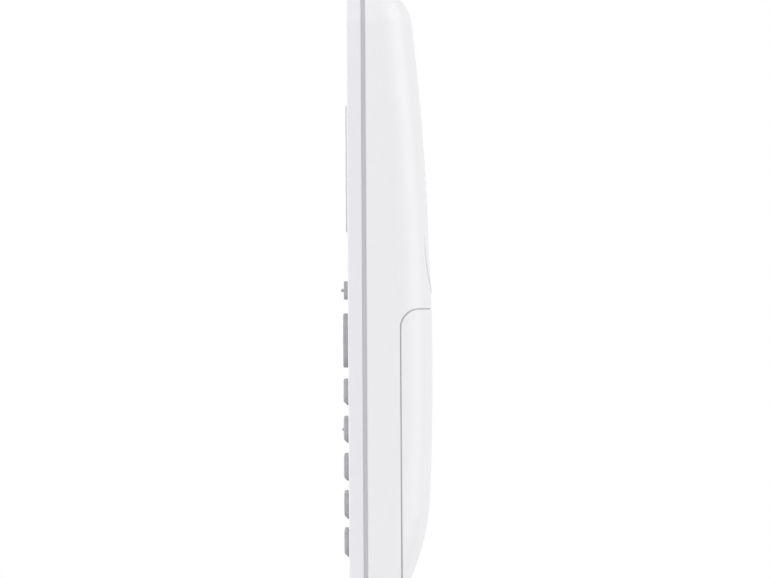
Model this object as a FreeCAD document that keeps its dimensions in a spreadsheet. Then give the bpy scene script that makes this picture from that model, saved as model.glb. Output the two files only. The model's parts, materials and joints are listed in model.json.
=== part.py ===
# Cordless phone handset: front shell, rear shell, sliding battery cover, keys and what they hold.
# Upright, millimetres: X is the width, Y the depth with the keys at -Y, Z the height from the foot.
# Every piece is drawn with Y = 0 at the front face and then moved forward, so that the origin
# lies under the middle of the handset and its keys.
import FreeCAD, Part
import Sketcher
import math
import os
import re

V = FreeCAD.Vector

SIZES = {
    # outline of both shells, seen from the front
    "body_length": 157.0,
    "body_width": 46.5,
    "top_corner_radius": 9.0,
    "foot_corner_radius": 9.5,
    "top_arch_radius": 110.0,
    # back of the handset, seen from the side
    "hump_height": 62.0,
    "head_drop": 4.6,
    "heel_height": 29.4,
    "heel_radius": 61.0,
    "toe_radius": 21.0,
    "toe_slope": 45.0,
    "foot_depth": 9.9,
    "roll_radius": 10.4,
    "roll_end_angle": 68.0,
    "crown_radius": 90.0,
    "rim_radius": 7.0,
    # finger scoop above the battery cover
    "scoop_space": 5.1,
    "scoop_length": 22.0,
    "scoop_radius": 420.0,
    "scoop_crown_radius": 166.0,
    # shells
    "wall": 1.8,
    "face_wall": 1.8,
    "front_depth": 3.6,
    "front_edge_radius": 0.6,
    "groove_width": 1.0,
    "groove_depth": 0.9,
    "tongue_height": 1.1,
    "tongue_gap": 0.1,
    "rear_edge_chamfer": 0.3,
    # battery cover
    "cover_seam_depth": 13.0,
    "cover_head_space": 1.5,
    "cover_corner_radius": 4.8,
    "cover_gap": 0.35,
    "cover_wall": 1.6,
    "shelf_wall": 1.0,
    "rail_margin": 8.15,
    "rail_foot_space": 5.4,
    "rail_head_space": 5.9,
    "rail_height": 2.4,
    "rail_lip": 1.0,
    "rail_wall": 0.9,
    "hook_length": 7.0,
    "hook_end_space": 5.0,
    "hook_gap": 0.3,
    "cover_tongue_width": 4.0,
    "cover_tongue_reach": 2.6,
    "cover_tongue_wall": 1.1,
    # battery bay and cells
    "cell_diameter": 10.2,
    "cell_length": 44.5,
    "cell_space": 0.5,
    "cell_gap": 0.25,
    "bay_foot": 24.6,
    "spring_reach": 3.6,
    "bay_space": 0.6,
    "cell_roof_gap": 1.98,
    "bay_floor_wall": 0.8,
    "bay_wall": 1.0,
    "contact_wall": 0.3,
    "contact_width": 8.0,
    "contact_length": 8.6,
    # circuit board and what it carries
    "board_wall": 1.2,
    "board_gap": 1.2,
    "shield_width": 22.0,
    "shield_length": 17.0,
    "shield_height": 1.8,
    "shield_wall": 0.25,
    "shield_corner_radius": 1.0,
    "shield_drop": 37.0,
    "antenna_width": 24.0,
    "antenna_height": 2.6,
    "antenna_length": 5.0,
    "antenna_wall": 0.3,
    "antenna_slot_width": 1.0,
    "antenna_drop": 11.0,
    # keys
    "key_margin": 4.65,
    "column_gap": 2.4,
    "row_gap": 3.2,
    "first_row": 16.85,
    "key_length": 6.3,
    "key_corner_radius": 2.4,
    "key_rise": 1.25,
    "key_bevel": 0.9,
    "key_edge": 0.2,
    "key_gap": 0.18,
    "key_flange": 0.6,
    "key_flange_wall": 0.6,
    "key_seat": 0.05,
    "key_travel": 0.5,
    "soft_key_space": 3.55,
    "soft_key_length": 4.6,
    "soft_key_rise": 1.05,
    "soft_key_corner_radius": 1.2,
    "nub_radius": 0.4,
    "nub_rise": 0.5,
    "soft_nub_rise": 0.8,
    "call_key_space": 3.15,
    "call_key_length": 13.5,
    "call_key_corner_radius": 3.2,
    "ring_diameter": 13.4,
    "ring_hole": 7.4,
    "ring_room_diameter": 10.0,
    "ring_web": 1.0,
    "select_key_diameter": 7.0,
    "select_key_rise": 0.9,
    # rubber mat and domes
    "field_corner_radius": 2.0,
    "mat_wall": 0.6,
    "plunger_diameter": 2.6,
    "plunger_length": 0.5,
    "dome_diameter": 4.6,
    "dome_rise": 0.25,
    "dome_sheet_wall": 0.2,
    # display
    "window_margin": 4.25,
    "window_length": 31.6,
    "window_corner_radius": 3.0,
    "window_rise": 0.4,
    "window_wall": 1.2,
    "window_gap": 0.15,
    "window_ledge": 2.2,
    "gasket_wall": 0.3,
    "display_side_trim": 1.0,
    "display_end_cover": 0.7,
    "display_corner_radius": 1.0,
    # earpiece, loudspeaker and microphone
    "earpiece_drop": 11.2,
    "earpiece_diameter": 13.0,
    "earpiece_slot_width": 1.0,
    "earpiece_slot_pitch": 2.2,
    "earpiece_slot_length": 7.0,
    "mesh_wall": 0.2,
    "ring_wall": 0.8,
    "loudspeaker_drop": 51.0,
    "loudspeaker_diameter": 20.0,
    "loudspeaker_wall": 3.6,
    "grille_slot_width": 1.2,
    "grille_slot_pitch": 2.6,
    "grille_diameter": 13.0,
    "microphone_space": 0.7,
    "microphone_diameter": 6.0,
    "microphone_hole": 1.2,
    "boot_wall": 0.7,
    # screws and charge contacts
    "screw_margin": 11.25,
    "screw_space": 0.4,
    "screw_diameter": 2.0,
    "screw_head_diameter": 3.8,
    "screw_head_wall": 1.4,
    "boss_wall": 1.2,
    "screw_gap": 0.15,
    "charge_contact_place": 7.5,
    "charge_contact_width": 3.6,
    "charge_contact_wall": 1.3,
    "charge_contact_gap": 1.3,
}

# Sizes that follow from the driving ones
DERIVED = {
    "board_depth": "face_wall + key_seat + key_flange_wall + mat_gap + mat_wall + plunger_length"
                   " + dome_rise + dome_sheet_wall",
    "board_back": "board_depth + board_wall",
    "bay_floor_depth": "board_back + bay_space + bay_floor_wall",
    "cell_depth": "bay_floor_depth + cell_gap + cell_diameter / 2",
    "body_depth": "cell_depth + cell_diameter / 2 + cell_roof_gap + cover_wall",
    "hump_radius": "(body_length - roll_radius - hump_height)^2 / (2 * head_drop)",
    "hump_across": "body_depth - hump_radius",
    "heel_up": "hump_height - (hump_radius - heel_radius) * (hump_height - heel_height) / hump_radius",
    "roll_up": "body_length - roll_radius",
    "rear_front": "front_depth + groove_width",
    "tongue_front": "front_depth - tongue_height",
    "cell_spacing": "cell_diameter + cell_space",
    "bay_width": "cell_spacing + cell_diameter + 2 * cell_gap",
    "bay_length": "cell_length + 2 * contact_wall + 2 * key_seat + spring_reach",
    "cover_top": "bay_foot + bay_length + bay_wall + cover_head_space",
    "rail_place": "body_width / 2 - rail_margin",
    "rail_foot": "bay_foot + rail_foot_space",
    "rail_head": "cover_top - rail_head_space",
    "cover_tongue_skin": "body_depth - (cover_top - hump_height)^2 / (2 * hump_radius)"
                         " - rail_place^2 / (2 * crown_radius)",
    "cover_tongue_back": "cover_tongue_skin - wall - cover_gap",
    "scoop_foot": "cover_top + scoop_space",
    "scoop_head": "scoop_foot + scoop_length",
    "key_width": "(body_width - 2 * key_margin - 2 * column_gap) / 3",
    "column_pitch": "key_width + column_gap",
    "row_pitch": "key_length + row_gap",
    "mat_gap": "key_travel + 2 * key_seat",
    "flange_front": "face_wall + key_seat",
    "flange_back": "flange_front + key_flange_wall",
    "mat_front": "flange_back + mat_gap",
    "mat_back": "mat_front + mat_wall",
    "dome_front": "board_depth - dome_sheet_wall",
    "call_up": "first_row + 4 * row_pitch + key_length / 2 + call_key_space + call_key_length / 2",
    "soft_key_up": "call_up + call_key_length / 2 + soft_key_space + soft_key_length / 2",
    "field_foot": "first_row - key_length / 2 - key_flange - mat_wall / 2",
    "field_head": "soft_key_up + soft_key_length / 2 + key_flange + mat_wall / 2",
    "field_width": "body_width - 2 * key_margin + 2 * key_flange + mat_wall",
    "call_key_outside": "body_width / 2 - key_margin",
    "call_key_inside": "ring_diameter / 2",
    "call_key_across": "(call_key_outside + call_key_inside) / 2",
    "call_key_width": "call_key_outside - call_key_inside",
    "call_key_hollow": "ring_diameter / 2 + ring_web + 2 * key_gap",
    "earpiece_up": "body_length - earpiece_drop",
    "earpiece_collar": "earpiece_diameter / 2 + key_gap + ring_wall",
    "window_width": "body_width - 2 * window_margin",
    "window_up": "(field_head + earpiece_up - earpiece_collar) / 2",
    "display_width": "window_width - 2 * display_side_trim",
    "display_length": "window_length + 2 * display_end_cover",
    "loudspeaker_up": "body_length - loudspeaker_drop",
    "loudspeaker_collar": "loudspeaker_diameter / 2 + key_gap + ring_wall",
    "loudspeaker_head": "loudspeaker_up + loudspeaker_diameter / 2",
    "loudspeaker_seat": "body_depth - (loudspeaker_head - hump_height)^2 / (2 * hump_radius)"
                        " - (loudspeaker_diameter / 2)^2 / (2 * crown_radius) - wall",
    "screw_place": "body_width / 2 - screw_margin",
    "screw_up": "field_foot - screw_space - screw_diameter / 2 - boss_wall",
    "screw_hole": "screw_diameter / 2 + screw_gap",
    "screw_sink_radius": "screw_head_diameter / 2 + screw_gap",
    "screw_seat": "cover_seam_depth - screw_head_wall - screw_gap",
    "microphone_up": "field_foot - microphone_space - microphone_diameter / 2 - boot_wall",
}

doc = FreeCAD.newDocument("cordless_phone")
sheet = doc.addObject("Spreadsheet::Sheet", "Sizes")
for line, (alias, number) in enumerate(SIZES.items(), start=1):
    sheet.set("A%d" % line, alias)
    sheet.set("B%d" % line, str(number))
    sheet.setAlias("B%d" % line, alias)
doc.recompute()

SUB_PARTS = []


def bound(text):
    """Expression in the sheet's cells: derived names are written out, aliases get the sheet's name."""
    def written_out(match):
        word = match.group(0)
        if word in DERIVED:
            return "(%s)" % bound(DERIVED[word])
        return "Sizes." + word if word in SIZES else word
    return re.sub(r"[a-z_]+", written_out, str(text))


def size(text):
    """Number that an expression of the sheet's cells gives now."""
    found = sheet.evalExpression(bound(text))
    return float(getattr(found, "Value", found))


# Bodies, sketches and features

def new_body(label):
    body = doc.addObject("PartDesign::Body", label)
    body.Label = label
    return body


def sub_part(label, x="0", z="0"):
    """Body of a piece: its Y = 0 is the handset's front face, and x and z place it in the front view."""
    body = new_body(label)
    body.setExpression("Placement.Base.x", bound(x))
    body.setExpression("Placement.Base.y", bound("(key_rise - body_depth) / 2"))
    body.setExpression("Placement.Base.z", bound(z))
    SUB_PARTS.append(body)
    return body


def new_sketch(body, name, role, offset="0"):
    """Sketch on one of the body's own origin planes, moved along the plane's normal."""
    sketch = body.newObject("Sketcher::SketchObject", name)
    plane = [item for item in body.Origin.OriginFeatures if item.Role == role][0]
    sketch.AttachmentSupport = [(plane, "")]
    sketch.MapMode = "FlatFace"
    sketch.setExpression("AttachmentOffset.Base.z", bound(offset))
    return sketch


def front_sketch(body, name, depth="0"):
    """Sketch seen from the front, at a depth behind the front face."""
    return new_sketch(body, name, "XZ_Plane", "-(%s)" % depth)


def side_sketch(body, name, offset="0"):
    """Sketch in the middle plane or beside it, with the depth across and the height up."""
    return new_sketch(body, name, "YZ_Plane", offset)


def level_sketch(body, name, height):
    """Sketch seen from above, at a height over the foot."""
    return new_sketch(body, name, "XY_Plane", height)


def pad(body, name, sketch, length, back=True, middle=False):
    """Pad that runs backwards from a front sketch, upwards from a level one, or both ways."""
    feature = body.newObject("PartDesign::Pad", name)
    feature.Profile = sketch
    feature.setExpression("Length", bound(length))
    feature.Reversed = back
    feature.Midplane = middle
    return feature


def pocket(body, name, sketch, length, back=True, middle=False):
    """Pocket that runs backwards from a front sketch, or forwards with back=False, or both ways."""
    feature = body.newObject("PartDesign::Pocket", name)
    feature.Profile = sketch
    feature.setExpression("Length", bound(length))
    feature.Reversed = not back
    feature.Midplane = middle
    return feature


def edges_where(feature, test):
    """Names of a feature's edges that pass a test."""
    doc.recompute()
    edges = feature.Shape.Edges
    return ["Edge%d" % (n + 1) for n, edge in enumerate(edges) if test(edge)]


def at_depth(y, low=-1e9, high=1e9):
    """Test for edges that lie in the plane of a depth, between two heights."""
    def test(edge):
        box = edge.BoundBox
        flat = abs(box.YMin - y) < 1e-4 and abs(box.YMax - y) < 1e-4
        return flat and box.ZMin > low - 1e-4 and box.ZMax < high + 1e-4
    return test


def dress(body, kind, name, base, names, length, setting):
    """Fillet or chamfer of the named edges."""
    feature = body.newObject("PartDesign::" + kind, name)
    feature.Base = (base, names)
    feature.setExpression(setting, bound(length))
    return feature


def fillet(body, name, base, names, radius):
    return dress(body, "Fillet", name, base, names, radius, "Radius")


def chamfer(body, name, base, names, length):
    return dress(body, "Chamfer", name, base, names, length, "Size")


def cut_by(body, name, tool):
    """Takes another body's form, which has no placement of its own, away from this one."""
    feature = body.newObject("PartDesign::Boolean", name)
    feature.Type = "Cut"
    feature.addObjects([tool])
    return feature


# Sketch outlines: every corner, centre and radius is held by an expression

def hold(sketch, kind, places, text):
    """Adds one driving dimension and binds it to its expression."""
    number = sketch.addConstraint(Sketcher.Constraint(kind, *places, size(text)))
    sketch.setExpression("Constraints[%d]" % number, bound(text))


def hold_point(sketch, place, across, up):
    hold(sketch, "DistanceX", (-1, 1) + place, across)
    hold(sketch, "DistanceY", (-1, 1) + place, up)


def polygon(sketch, corners):
    """Closed outline of straight lines through corners given as expressions."""
    first = sketch.GeometryCount
    points = [V(size(across), size(up), 0) for across, up in corners]
    count = len(points)
    sketch.addGeometry([Part.LineSegment(points[n], points[(n + 1) % count]) for n in range(count)], False)
    for n in range(count):
        sketch.addConstraint(Sketcher.Constraint("Coincident", first + n, 2, first + (n + 1) % count, 1))
        hold_point(sketch, (first + n, 1), *corners[n])


def rectangle(sketch, left, right, low, high):
    polygon(sketch, [(left, low), (right, low), (right, high), (left, high)])


def circle(sketch, across, up, radius):
    number = sketch.addGeometry(Part.Circle(V(size(across), size(up), 0), V(0, 0, 1), size(radius)), False)
    hold_point(sketch, (number, 3), across, up)
    hold(sketch, "Radius", (number,), radius)


def rounded_rectangle(sketch, across, up, width, length, radius):
    """Rectangle about a centre, with four equal round corners."""
    first = sketch.GeometryCount
    mid = V(size(across), size(up), 0)
    half_w, half_l, r = size(width) / 2, size(length) / 2, size(radius)
    inner = [V(half_w - r, -half_l + r, 0), V(half_w - r, half_l - r, 0),
             V(-half_w + r, half_l - r, 0), V(-half_w + r, -half_l + r, 0)]
    shapes = []
    for n, corner in enumerate(inner):
        start = (n - 1) * math.pi / 2
        shapes.append(Part.ArcOfCircle(Part.Circle(mid + corner, V(0, 0, 1), r), start, start + math.pi / 2))
    for n in range(4):
        end = inner[n] + V(math.cos(n * math.pi / 2), math.sin(n * math.pi / 2), 0) * r
        begin = inner[(n + 1) % 4] + V(math.cos(n * math.pi / 2), math.sin(n * math.pi / 2), 0) * r
        shapes.append(Part.LineSegment(mid + end, mid + begin))
    sketch.addGeometry(shapes, False)
    rules = []
    for n in range(4):
        rules.append(Sketcher.Constraint("Tangent", first + n, 2, first + 4 + n, 1))
        rules.append(Sketcher.Constraint("Tangent", first + 4 + n, 2, first + (n + 1) % 4, 1))
        rules.append(Sketcher.Constraint("Vertical" if n % 2 == 0 else "Horizontal", first + 4 + n))
    rules += [Sketcher.Constraint("Equal", first, first + n) for n in (1, 2, 3)]
    sketch.addConstraint(rules)
    hold(sketch, "Radius", (first,), radius)
    hold(sketch, "DistanceX", (-1, 1, first + 4, 1), "%s + (%s) / 2" % (across, width))
    hold(sketch, "DistanceX", (-1, 1, first + 6, 1), "%s - (%s) / 2" % (across, width))
    hold(sketch, "DistanceY", (-1, 1, first + 5, 1), "%s + (%s) / 2" % (up, length))
    hold(sketch, "DistanceY", (-1, 1, first + 7, 1), "%s - (%s) / 2" % (up, length))


def plan_outline(sketch, inset="0"):
    """Front view of the shells, drawn in by an inset: straight foot and sides, arched top."""
    half, length, low = size("body_width / 2 - (%s)" % inset), size("body_length"), size(inset)
    top, foot = size("top_corner_radius - (%s)" % inset), size("foot_corner_radius - (%s)" % inset)
    arch = size("top_arch_radius - (%s)" % inset)
    arch_up = size("body_length - top_arch_radius")
    corner_up = arch_up + math.sqrt((arch - top) ** 2 - (half - top) ** 2)
    turn = math.atan2(corner_up - arch_up, half - top)

    def arc(across, up, radius, start, end):
        return Part.ArcOfCircle(Part.Circle(V(across, up, 0), V(0, 0, 1), radius), start, end)

    sketch.addGeometry([
        Part.LineSegment(V(-half + foot, low, 0), V(half - foot, low, 0)),
        arc(half - foot, low + foot, foot, -math.pi / 2, 0),
        Part.LineSegment(V(half, low + foot, 0), V(half, corner_up, 0)),
        arc(half - top, corner_up, top, 0, turn),
        arc(0, arch_up, arch, turn, math.pi - turn),
        arc(top - half, corner_up, top, math.pi - turn, math.pi),
        Part.LineSegment(V(-half, corner_up, 0), V(-half, low + foot, 0)),
        arc(foot - half, low + foot, foot, math.pi, 1.5 * math.pi),
    ], False)
    rules = [Sketcher.Constraint("Tangent", n, 2, (n + 1) % 8, 1) for n in range(8)]
    rules += [Sketcher.Constraint("Horizontal", 0), Sketcher.Constraint("Vertical", 2),
              Sketcher.Constraint("Vertical", 6), Sketcher.Constraint("PointOnObject", 4, 3, -2),
              Sketcher.Constraint("Equal", 1, 7), Sketcher.Constraint("Equal", 3, 5)]
    sketch.addConstraint(rules)
    hold(sketch, "Radius", (1,), "foot_corner_radius - (%s)" % inset)
    hold(sketch, "Radius", (3,), "top_corner_radius - (%s)" % inset)
    hold(sketch, "Radius", (4,), "top_arch_radius - (%s)" % inset)
    hold(sketch, "DistanceX", (-1, 1, 2, 1), "body_width / 2 - (%s)" % inset)
    hold(sketch, "DistanceX", (6, 1, -1, 1), "body_width / 2 - (%s)" % inset)
    hold(sketch, "DistanceY", (-1, 1, 4, 3), "body_length - top_arch_radius")
    hold(sketch, "DistanceY", (-1, 1, 0, 1), inset)


# Back of the handset: tangent arcs for the roll at the top, the long hump, the heel and the toe

WASTE_MARGIN = 12
TOE_EXIT = "foot_depth - %d * tan(toe_slope * 1 deg)" % WASTE_MARGIN


def back_profile(sketch, inset):
    """Region behind the handset's back, drawn in by an inset, with the crown's axis in front of it."""
    hump_r, heel_r = size("hump_radius - (%s)" % inset), size("heel_radius - (%s)" % inset)
    toe_r, roll_r = size("toe_radius - (%s)" % inset), size("roll_radius - (%s)" % inset)
    hump = V(size("hump_across"), size("hump_height"), 0)
    heel_turn = -math.asin(size("(hump_height - heel_height) / hump_radius"))
    toe_end, roll_end = -math.radians(size("toe_slope")), math.radians(size("roll_end_angle"))
    roll_turn = math.asin((size("roll_up") - hump.y) / (hump_r - roll_r))

    def toward(turn):
        return V(math.cos(turn), math.sin(turn), 0)

    heel = hump + toward(heel_turn) * (hump_r - heel_r)
    # the line under the toe meets the foot plane at foot_depth; the toe's arc touches it and the heel's
    across = toward(toe_end)
    along = V(-across.y, across.x, 0)
    lift = (V(size("foot_depth"), 0, 0) - heel).dot(across) - size(inset) - toe_r
    toe = heel + across * lift + along * math.sqrt((heel_r - toe_r) ** 2 - lift ** 2)
    toe_turn = math.atan2(toe.y - heel.y, toe.x - heel.x)
    roll = hump + toward(roll_turn) * (hump_r - roll_r)

    def arc(centre, radius, start, end):
        return Part.ArcOfCircle(Part.Circle(centre, V(0, 0, 1), radius), start, end)

    far = size("body_depth") + WASTE_MARGIN
    low, high = -WASTE_MARGIN, size("body_length") + WASTE_MARGIN
    toe_point, roll_point = toe + toward(toe_end) * toe_r, roll + toward(roll_end) * roll_r
    toe_exit_across = "%s - (%s) / cos(toe_slope * 1 deg)" % (TOE_EXIT, inset)
    toe_exit = V(size(toe_exit_across), low, 0)
    roll_exit = V(roll_point.x - (high - roll_point.y) * math.tan(roll_end), high, 0)
    sketch.addGeometry([
        Part.LineSegment(toe_exit, toe_point),
        arc(toe, toe_r, toe_end, toe_turn),
        arc(heel, heel_r, toe_turn, heel_turn),
        arc(hump, hump_r, heel_turn, roll_turn),
        arc(roll, roll_r, roll_turn, roll_end),
        Part.LineSegment(roll_point, roll_exit),
        Part.LineSegment(roll_exit, V(far, high, 0)),
        Part.LineSegment(V(far, high, 0), V(far, low, 0)),
        Part.LineSegment(V(far, low, 0), toe_exit),
    ], False)
    rules = [Sketcher.Constraint("Tangent", n, 2, n + 1, 1) for n in range(5)]
    rules += [Sketcher.Constraint("Coincident", n, 2, (n + 1) % 9, 1) for n in (5, 6, 7, 8)]
    rules += [Sketcher.Constraint("Horizontal", 6), Sketcher.Constraint("Vertical", 7),
              Sketcher.Constraint("Horizontal", 8)]
    sketch.addConstraint(rules)
    for number, radius in ((1, "toe_radius"), (2, "heel_radius"), (3, "hump_radius"), (4, "roll_radius")):
        hold(sketch, "Radius", (number,), "%s - (%s)" % (radius, inset))
    hold_point(sketch, (3, 3), "hump_across", "hump_height")
    hold(sketch, "DistanceY", (-1, 1, 2, 3), "heel_up")
    hold(sketch, "DistanceY", (-1, 1, 4, 3), "roll_up")
    hold(sketch, "DistanceY", (-1, 1, 4, 2),
         "roll_up + (roll_radius - (%s)) * sin(roll_end_angle * 1 deg)" % inset)
    hold_point(sketch, (0, 1), toe_exit_across, "-%d" % WASTE_MARGIN)
    lean = sketch.addConstraint(Sketcher.Constraint("Angle", 0, math.pi / 2 + toe_end))
    sketch.setExpression("Constraints[%d]" % lean, bound("(90 - toe_slope) * 1 deg"))
    hold_point(sketch, (7, 1), "body_depth + %d" % WASTE_MARGIN, "body_length + %d" % WASTE_MARGIN)
    crown_axis(sketch, "body_depth - crown_radius")


def crown_axis(sketch, across):
    """Upright construction line that a groove turns about."""
    foot, head = V(size(across), 0, 0), V(size(across), size("body_length"), 0)
    number = sketch.addGeometry(Part.LineSegment(foot, head), True)
    hold_point(sketch, (number, 1), across, "0")
    hold_point(sketch, (number, 2), across, "body_length")


def crown_groove(body, name, sketch):
    """Groove a little wider than the handset, turned about the sketch's upright axis."""
    feature = body.newObject("PartDesign::Groove", name)
    feature.Profile = sketch
    feature.ReferenceAxis = (sketch, ["Axis0"])
    feature.Angle = 40
    feature.Midplane = True
    return feature


def handset_form(body, front, inset="0"):
    """Solid form of the handset's back half from a depth backwards, drawn in by an inset."""
    plan = front_sketch(body, body.Label + "_plan", front)
    plan_outline(plan, inset)
    pad(body, body.Label + "_block", plan, "body_depth + 1 - (%s)" % front)
    profile = side_sketch(body, body.Label + "_profile")
    back_profile(profile, inset)
    crown = crown_groove(body, body.Label + "_crown", profile)
    doc.recompute()

    def rim(edge):
        """Edges between the crowned back and the walls around it."""
        middle = edge.valueAt((edge.FirstParameter + edge.LastParameter) / 2)
        faces = crown.Shape.ancestorsOfType(edge, Part.Face)
        upright = [abs(face.normalAt(*face.Surface.parameter(middle)).y) < 0.02 for face in faces]
        return len(faces) == 2 and upright.count(True) == 1 and middle.y > size(front) + 0.5
    names = edges_where(crown, rim)
    return fillet(body, body.Label + "_rim", crown, names, "rim_radius - (%s)" % inset)


def back_at(height):
    """Depth of the handset's back at a height on the hump, in the middle plane."""
    return "body_depth - (%s - hump_height)^2 / (2 * hump_radius)" % height


TONGUE_PLACE = "%d * (rail_place - cover_tongue_width / 2)"
ROWS = 5
SIDES = ((-1, "left"), (1, "right"))


def linear_pattern(body, name, feature, sketch, axis, length, count):
    """Copies a feature along one axis of its sketch and makes the pattern the body's end."""
    pattern = body.newObject("PartDesign::LinearPattern", name)
    pattern.Originals = [feature]
    pattern.Direction = (sketch, [axis])
    pattern.setExpression("Length", bound(length))
    pattern.Occurrences = count
    body.Tip = pattern
    return pattern


def in_columns(sketch, outline):
    """Draws an outline in each of the three key columns."""
    for column in (-1, 0, 1):
        outline(sketch, "%d * column_pitch" % column)


def small_key_outline(sketch, across, up="first_row", grow="0"):
    rounded_rectangle(sketch, across, up, "key_width + 2 * (%s)" % grow, "key_length + 2 * (%s)" % grow,
                      "key_corner_radius + (%s)" % grow)


def soft_key_outline(sketch, across, up="soft_key_up", grow="0"):
    rounded_rectangle(sketch, across, up,
                      "key_width + 2 * (%s)" % grow, "soft_key_length + 2 * (%s)" % grow,
                      "soft_key_corner_radius + (%s)" % grow)


def call_key_outline(sketch, across, up="call_up", grow="0"):
    rounded_rectangle(sketch, across, up, "call_key_width + 2 * (%s)" % grow,
                      "call_key_length + 2 * (%s)" % grow, "call_key_corner_radius + (%s)" % grow)


# Front shell

def front_shell():
    """Shallow tray with the openings for window, keys, earpiece and microphone."""
    body = sub_part("front_shell")
    plan = front_sketch(body, "front_plan")
    plan_outline(plan)
    block = pad(body, "front_block", plan, "front_depth")
    fillet(body, "front_edge", block, edges_where(block, at_depth(0)), "front_edge_radius")
    cavity = front_sketch(body, "front_cavity_plan", "front_depth")
    plan_outline(cavity, "wall")
    pocket(body, "front_cavity", cavity, "front_depth - face_wall", back=False)
    rebate = front_sketch(body, "rebate_plan", "front_depth")
    plan_outline(rebate, "groove_depth - tongue_gap")
    pocket(body, "rebate", rebate, "tongue_height", back=False)

    recess = front_sketch(body, "window_recess_plan")
    rounded_rectangle(recess, "0", "window_up",
                      "window_width + 2 * window_gap", "window_length + 2 * window_gap",
                      "window_corner_radius + window_gap")
    pocket(body, "window_recess", recess, "window_wall - window_rise")
    opening = front_sketch(body, "window_opening_plan")
    rounded_rectangle(opening, "0", "window_up", "window_width - 2 * window_ledge",
                      "window_length - 2 * window_ledge", "window_corner_radius / 2")
    pocket(body, "window_opening", opening, "face_wall")

    soft = front_sketch(body, "soft_key_openings_plan")
    in_columns(soft, lambda sketch, across: soft_key_outline(sketch, across, grow="key_gap"))
    pocket(body, "soft_key_openings", soft, "face_wall")
    call = front_sketch(body, "call_key_openings_plan")
    for side in (-1, 1):
        call_key_outline(call, "%d * call_key_across" % side, grow="key_gap")
    pocket(body, "call_key_openings", call, "face_wall")
    web = front_sketch(body, "ring_web_plan")
    circle(web, "0", "call_up", "ring_diameter / 2 + key_gap + ring_web")
    pad(body, "ring_web_disc", web, "face_wall")
    ring = front_sketch(body, "ring_opening_plan")
    circle(ring, "0", "call_up", "ring_diameter / 2 + key_gap")
    pocket(body, "ring_opening", ring, "face_wall")

    slots = front_sketch(body, "earpiece_slots_plan")
    for row in (-1, 0, 1):
        rounded_rectangle(slots, "0", "earpiece_up + %d * earpiece_slot_pitch" % row,
                          "earpiece_slot_length - %d" % abs(row), "earpiece_slot_width",
                          "earpiece_slot_width / 2.02")
    pocket(body, "earpiece_slots", slots, "face_wall")
    port = front_sketch(body, "microphone_port_plan")
    circle(port, "0", "microphone_up", "microphone_hole / 2")
    pocket(body, "microphone_port", port, "face_wall")

    collar = front_sketch(body, "earpiece_collar_plan", "face_wall")
    circle(collar, "0", "earpiece_up", "earpiece_collar")
    circle(collar, "0", "earpiece_up", "earpiece_diameter / 2 + key_gap")
    pad(body, "earpiece_collar", collar, "front_depth - face_wall")
    boss = front_sketch(body, "front_boss_plan", "face_wall")
    for side in (-1, 1):
        circle(boss, "%d * screw_place" % side, "screw_up", "screw_diameter / 2 + boss_wall")
        circle(boss, "%d * screw_place" % side, "screw_up", "screw_diameter / 2")
    pad(body, "front_bosses", boss, "board_depth - face_wall")
    keys = front_sketch(body, "key_openings_plan")
    in_columns(keys, lambda sketch, across: small_key_outline(sketch, across, grow="key_gap"))
    first = pocket(body, "key_openings", keys, "face_wall")
    linear_pattern(body, "key_rows", first, keys, "V_Axis", "%d * row_pitch" % (ROWS - 1), ROWS)


# Rear shell

def seam_line(sketch, depth, top, radius, corners):
    """Battery cover's seam seen from the side, closed round one side of it through more corners."""
    low = "-%d" % WASTE_MARGIN
    far = "body_depth + %d" % WASTE_MARGIN
    corner_across, corner_up = "%s + (%s)" % (depth, radius), "%s - (%s)" % (top, radius)
    centre = V(size(corner_across), size(corner_up), 0)
    start, end = V(size(depth), size(low), 0), V(size(far), size(top), 0)
    shapes = [
        Part.LineSegment(start, V(start.x, centre.y, 0)),
        Part.ArcOfCircle(Part.Circle(centre, V(0, 0, 1), size(radius)), math.pi / 2, math.pi),
        Part.LineSegment(V(centre.x, end.y, 0), end),
    ]
    points = [end] + [V(size(across), size(up), 0) for across, up in corners] + [start]
    shapes += [Part.LineSegment(points[n], points[n + 1]) for n in range(len(points) - 1)]
    sketch.addGeometry(shapes, False)
    rules = [Sketcher.Constraint("Vertical", 0), Sketcher.Constraint("Tangent", 0, 2, 1, 2),
             Sketcher.Constraint("Tangent", 1, 1, 2, 1), Sketcher.Constraint("Horizontal", 2)]
    count = len(shapes)
    rules += [Sketcher.Constraint("Coincident", n, 2, (n + 1) % count, 1) for n in range(2, count)]
    sketch.addConstraint(rules)
    hold(sketch, "Radius", (1,), radius)
    hold_point(sketch, (0, 1), depth, low)
    hold_point(sketch, (2, 2), far, top)
    for n, (across, up) in enumerate(corners):
        hold_point(sketch, (3 + n, 2), across, up)


def behind_seam(sketch, depth, top, radius):
    far = "body_depth + %d" % WASTE_MARGIN
    seam_line(sketch, depth, top, radius, [(far, "-%d" % WASTE_MARGIN)])


def before_seam(sketch, depth, top, radius):
    """Everything but the battery cover: in front of the seam and above it."""
    far, high = "body_depth + %d" % WASTE_MARGIN, "body_length + %d" % WASTE_MARGIN
    low = "-%d" % WASTE_MARGIN
    seam_line(sketch, depth, top, radius, [(far, high), (low, high), (low, low)])


def rear_cavity():
    """Hollow of the rear shell: it leaves the shelf under the battery cover standing."""
    body = new_body("rear_cavity")
    handset_form(body, "tongue_front - tongue_gap", "wall")
    zone = side_sketch(body, "shelf_zone")
    behind_seam(zone, "cover_seam_depth - shelf_wall", "cover_top + wall", "cover_corner_radius + wall")
    pocket(body, "shelf", zone, "2 * body_width", middle=True)
    doc.recompute()
    return body


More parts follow.
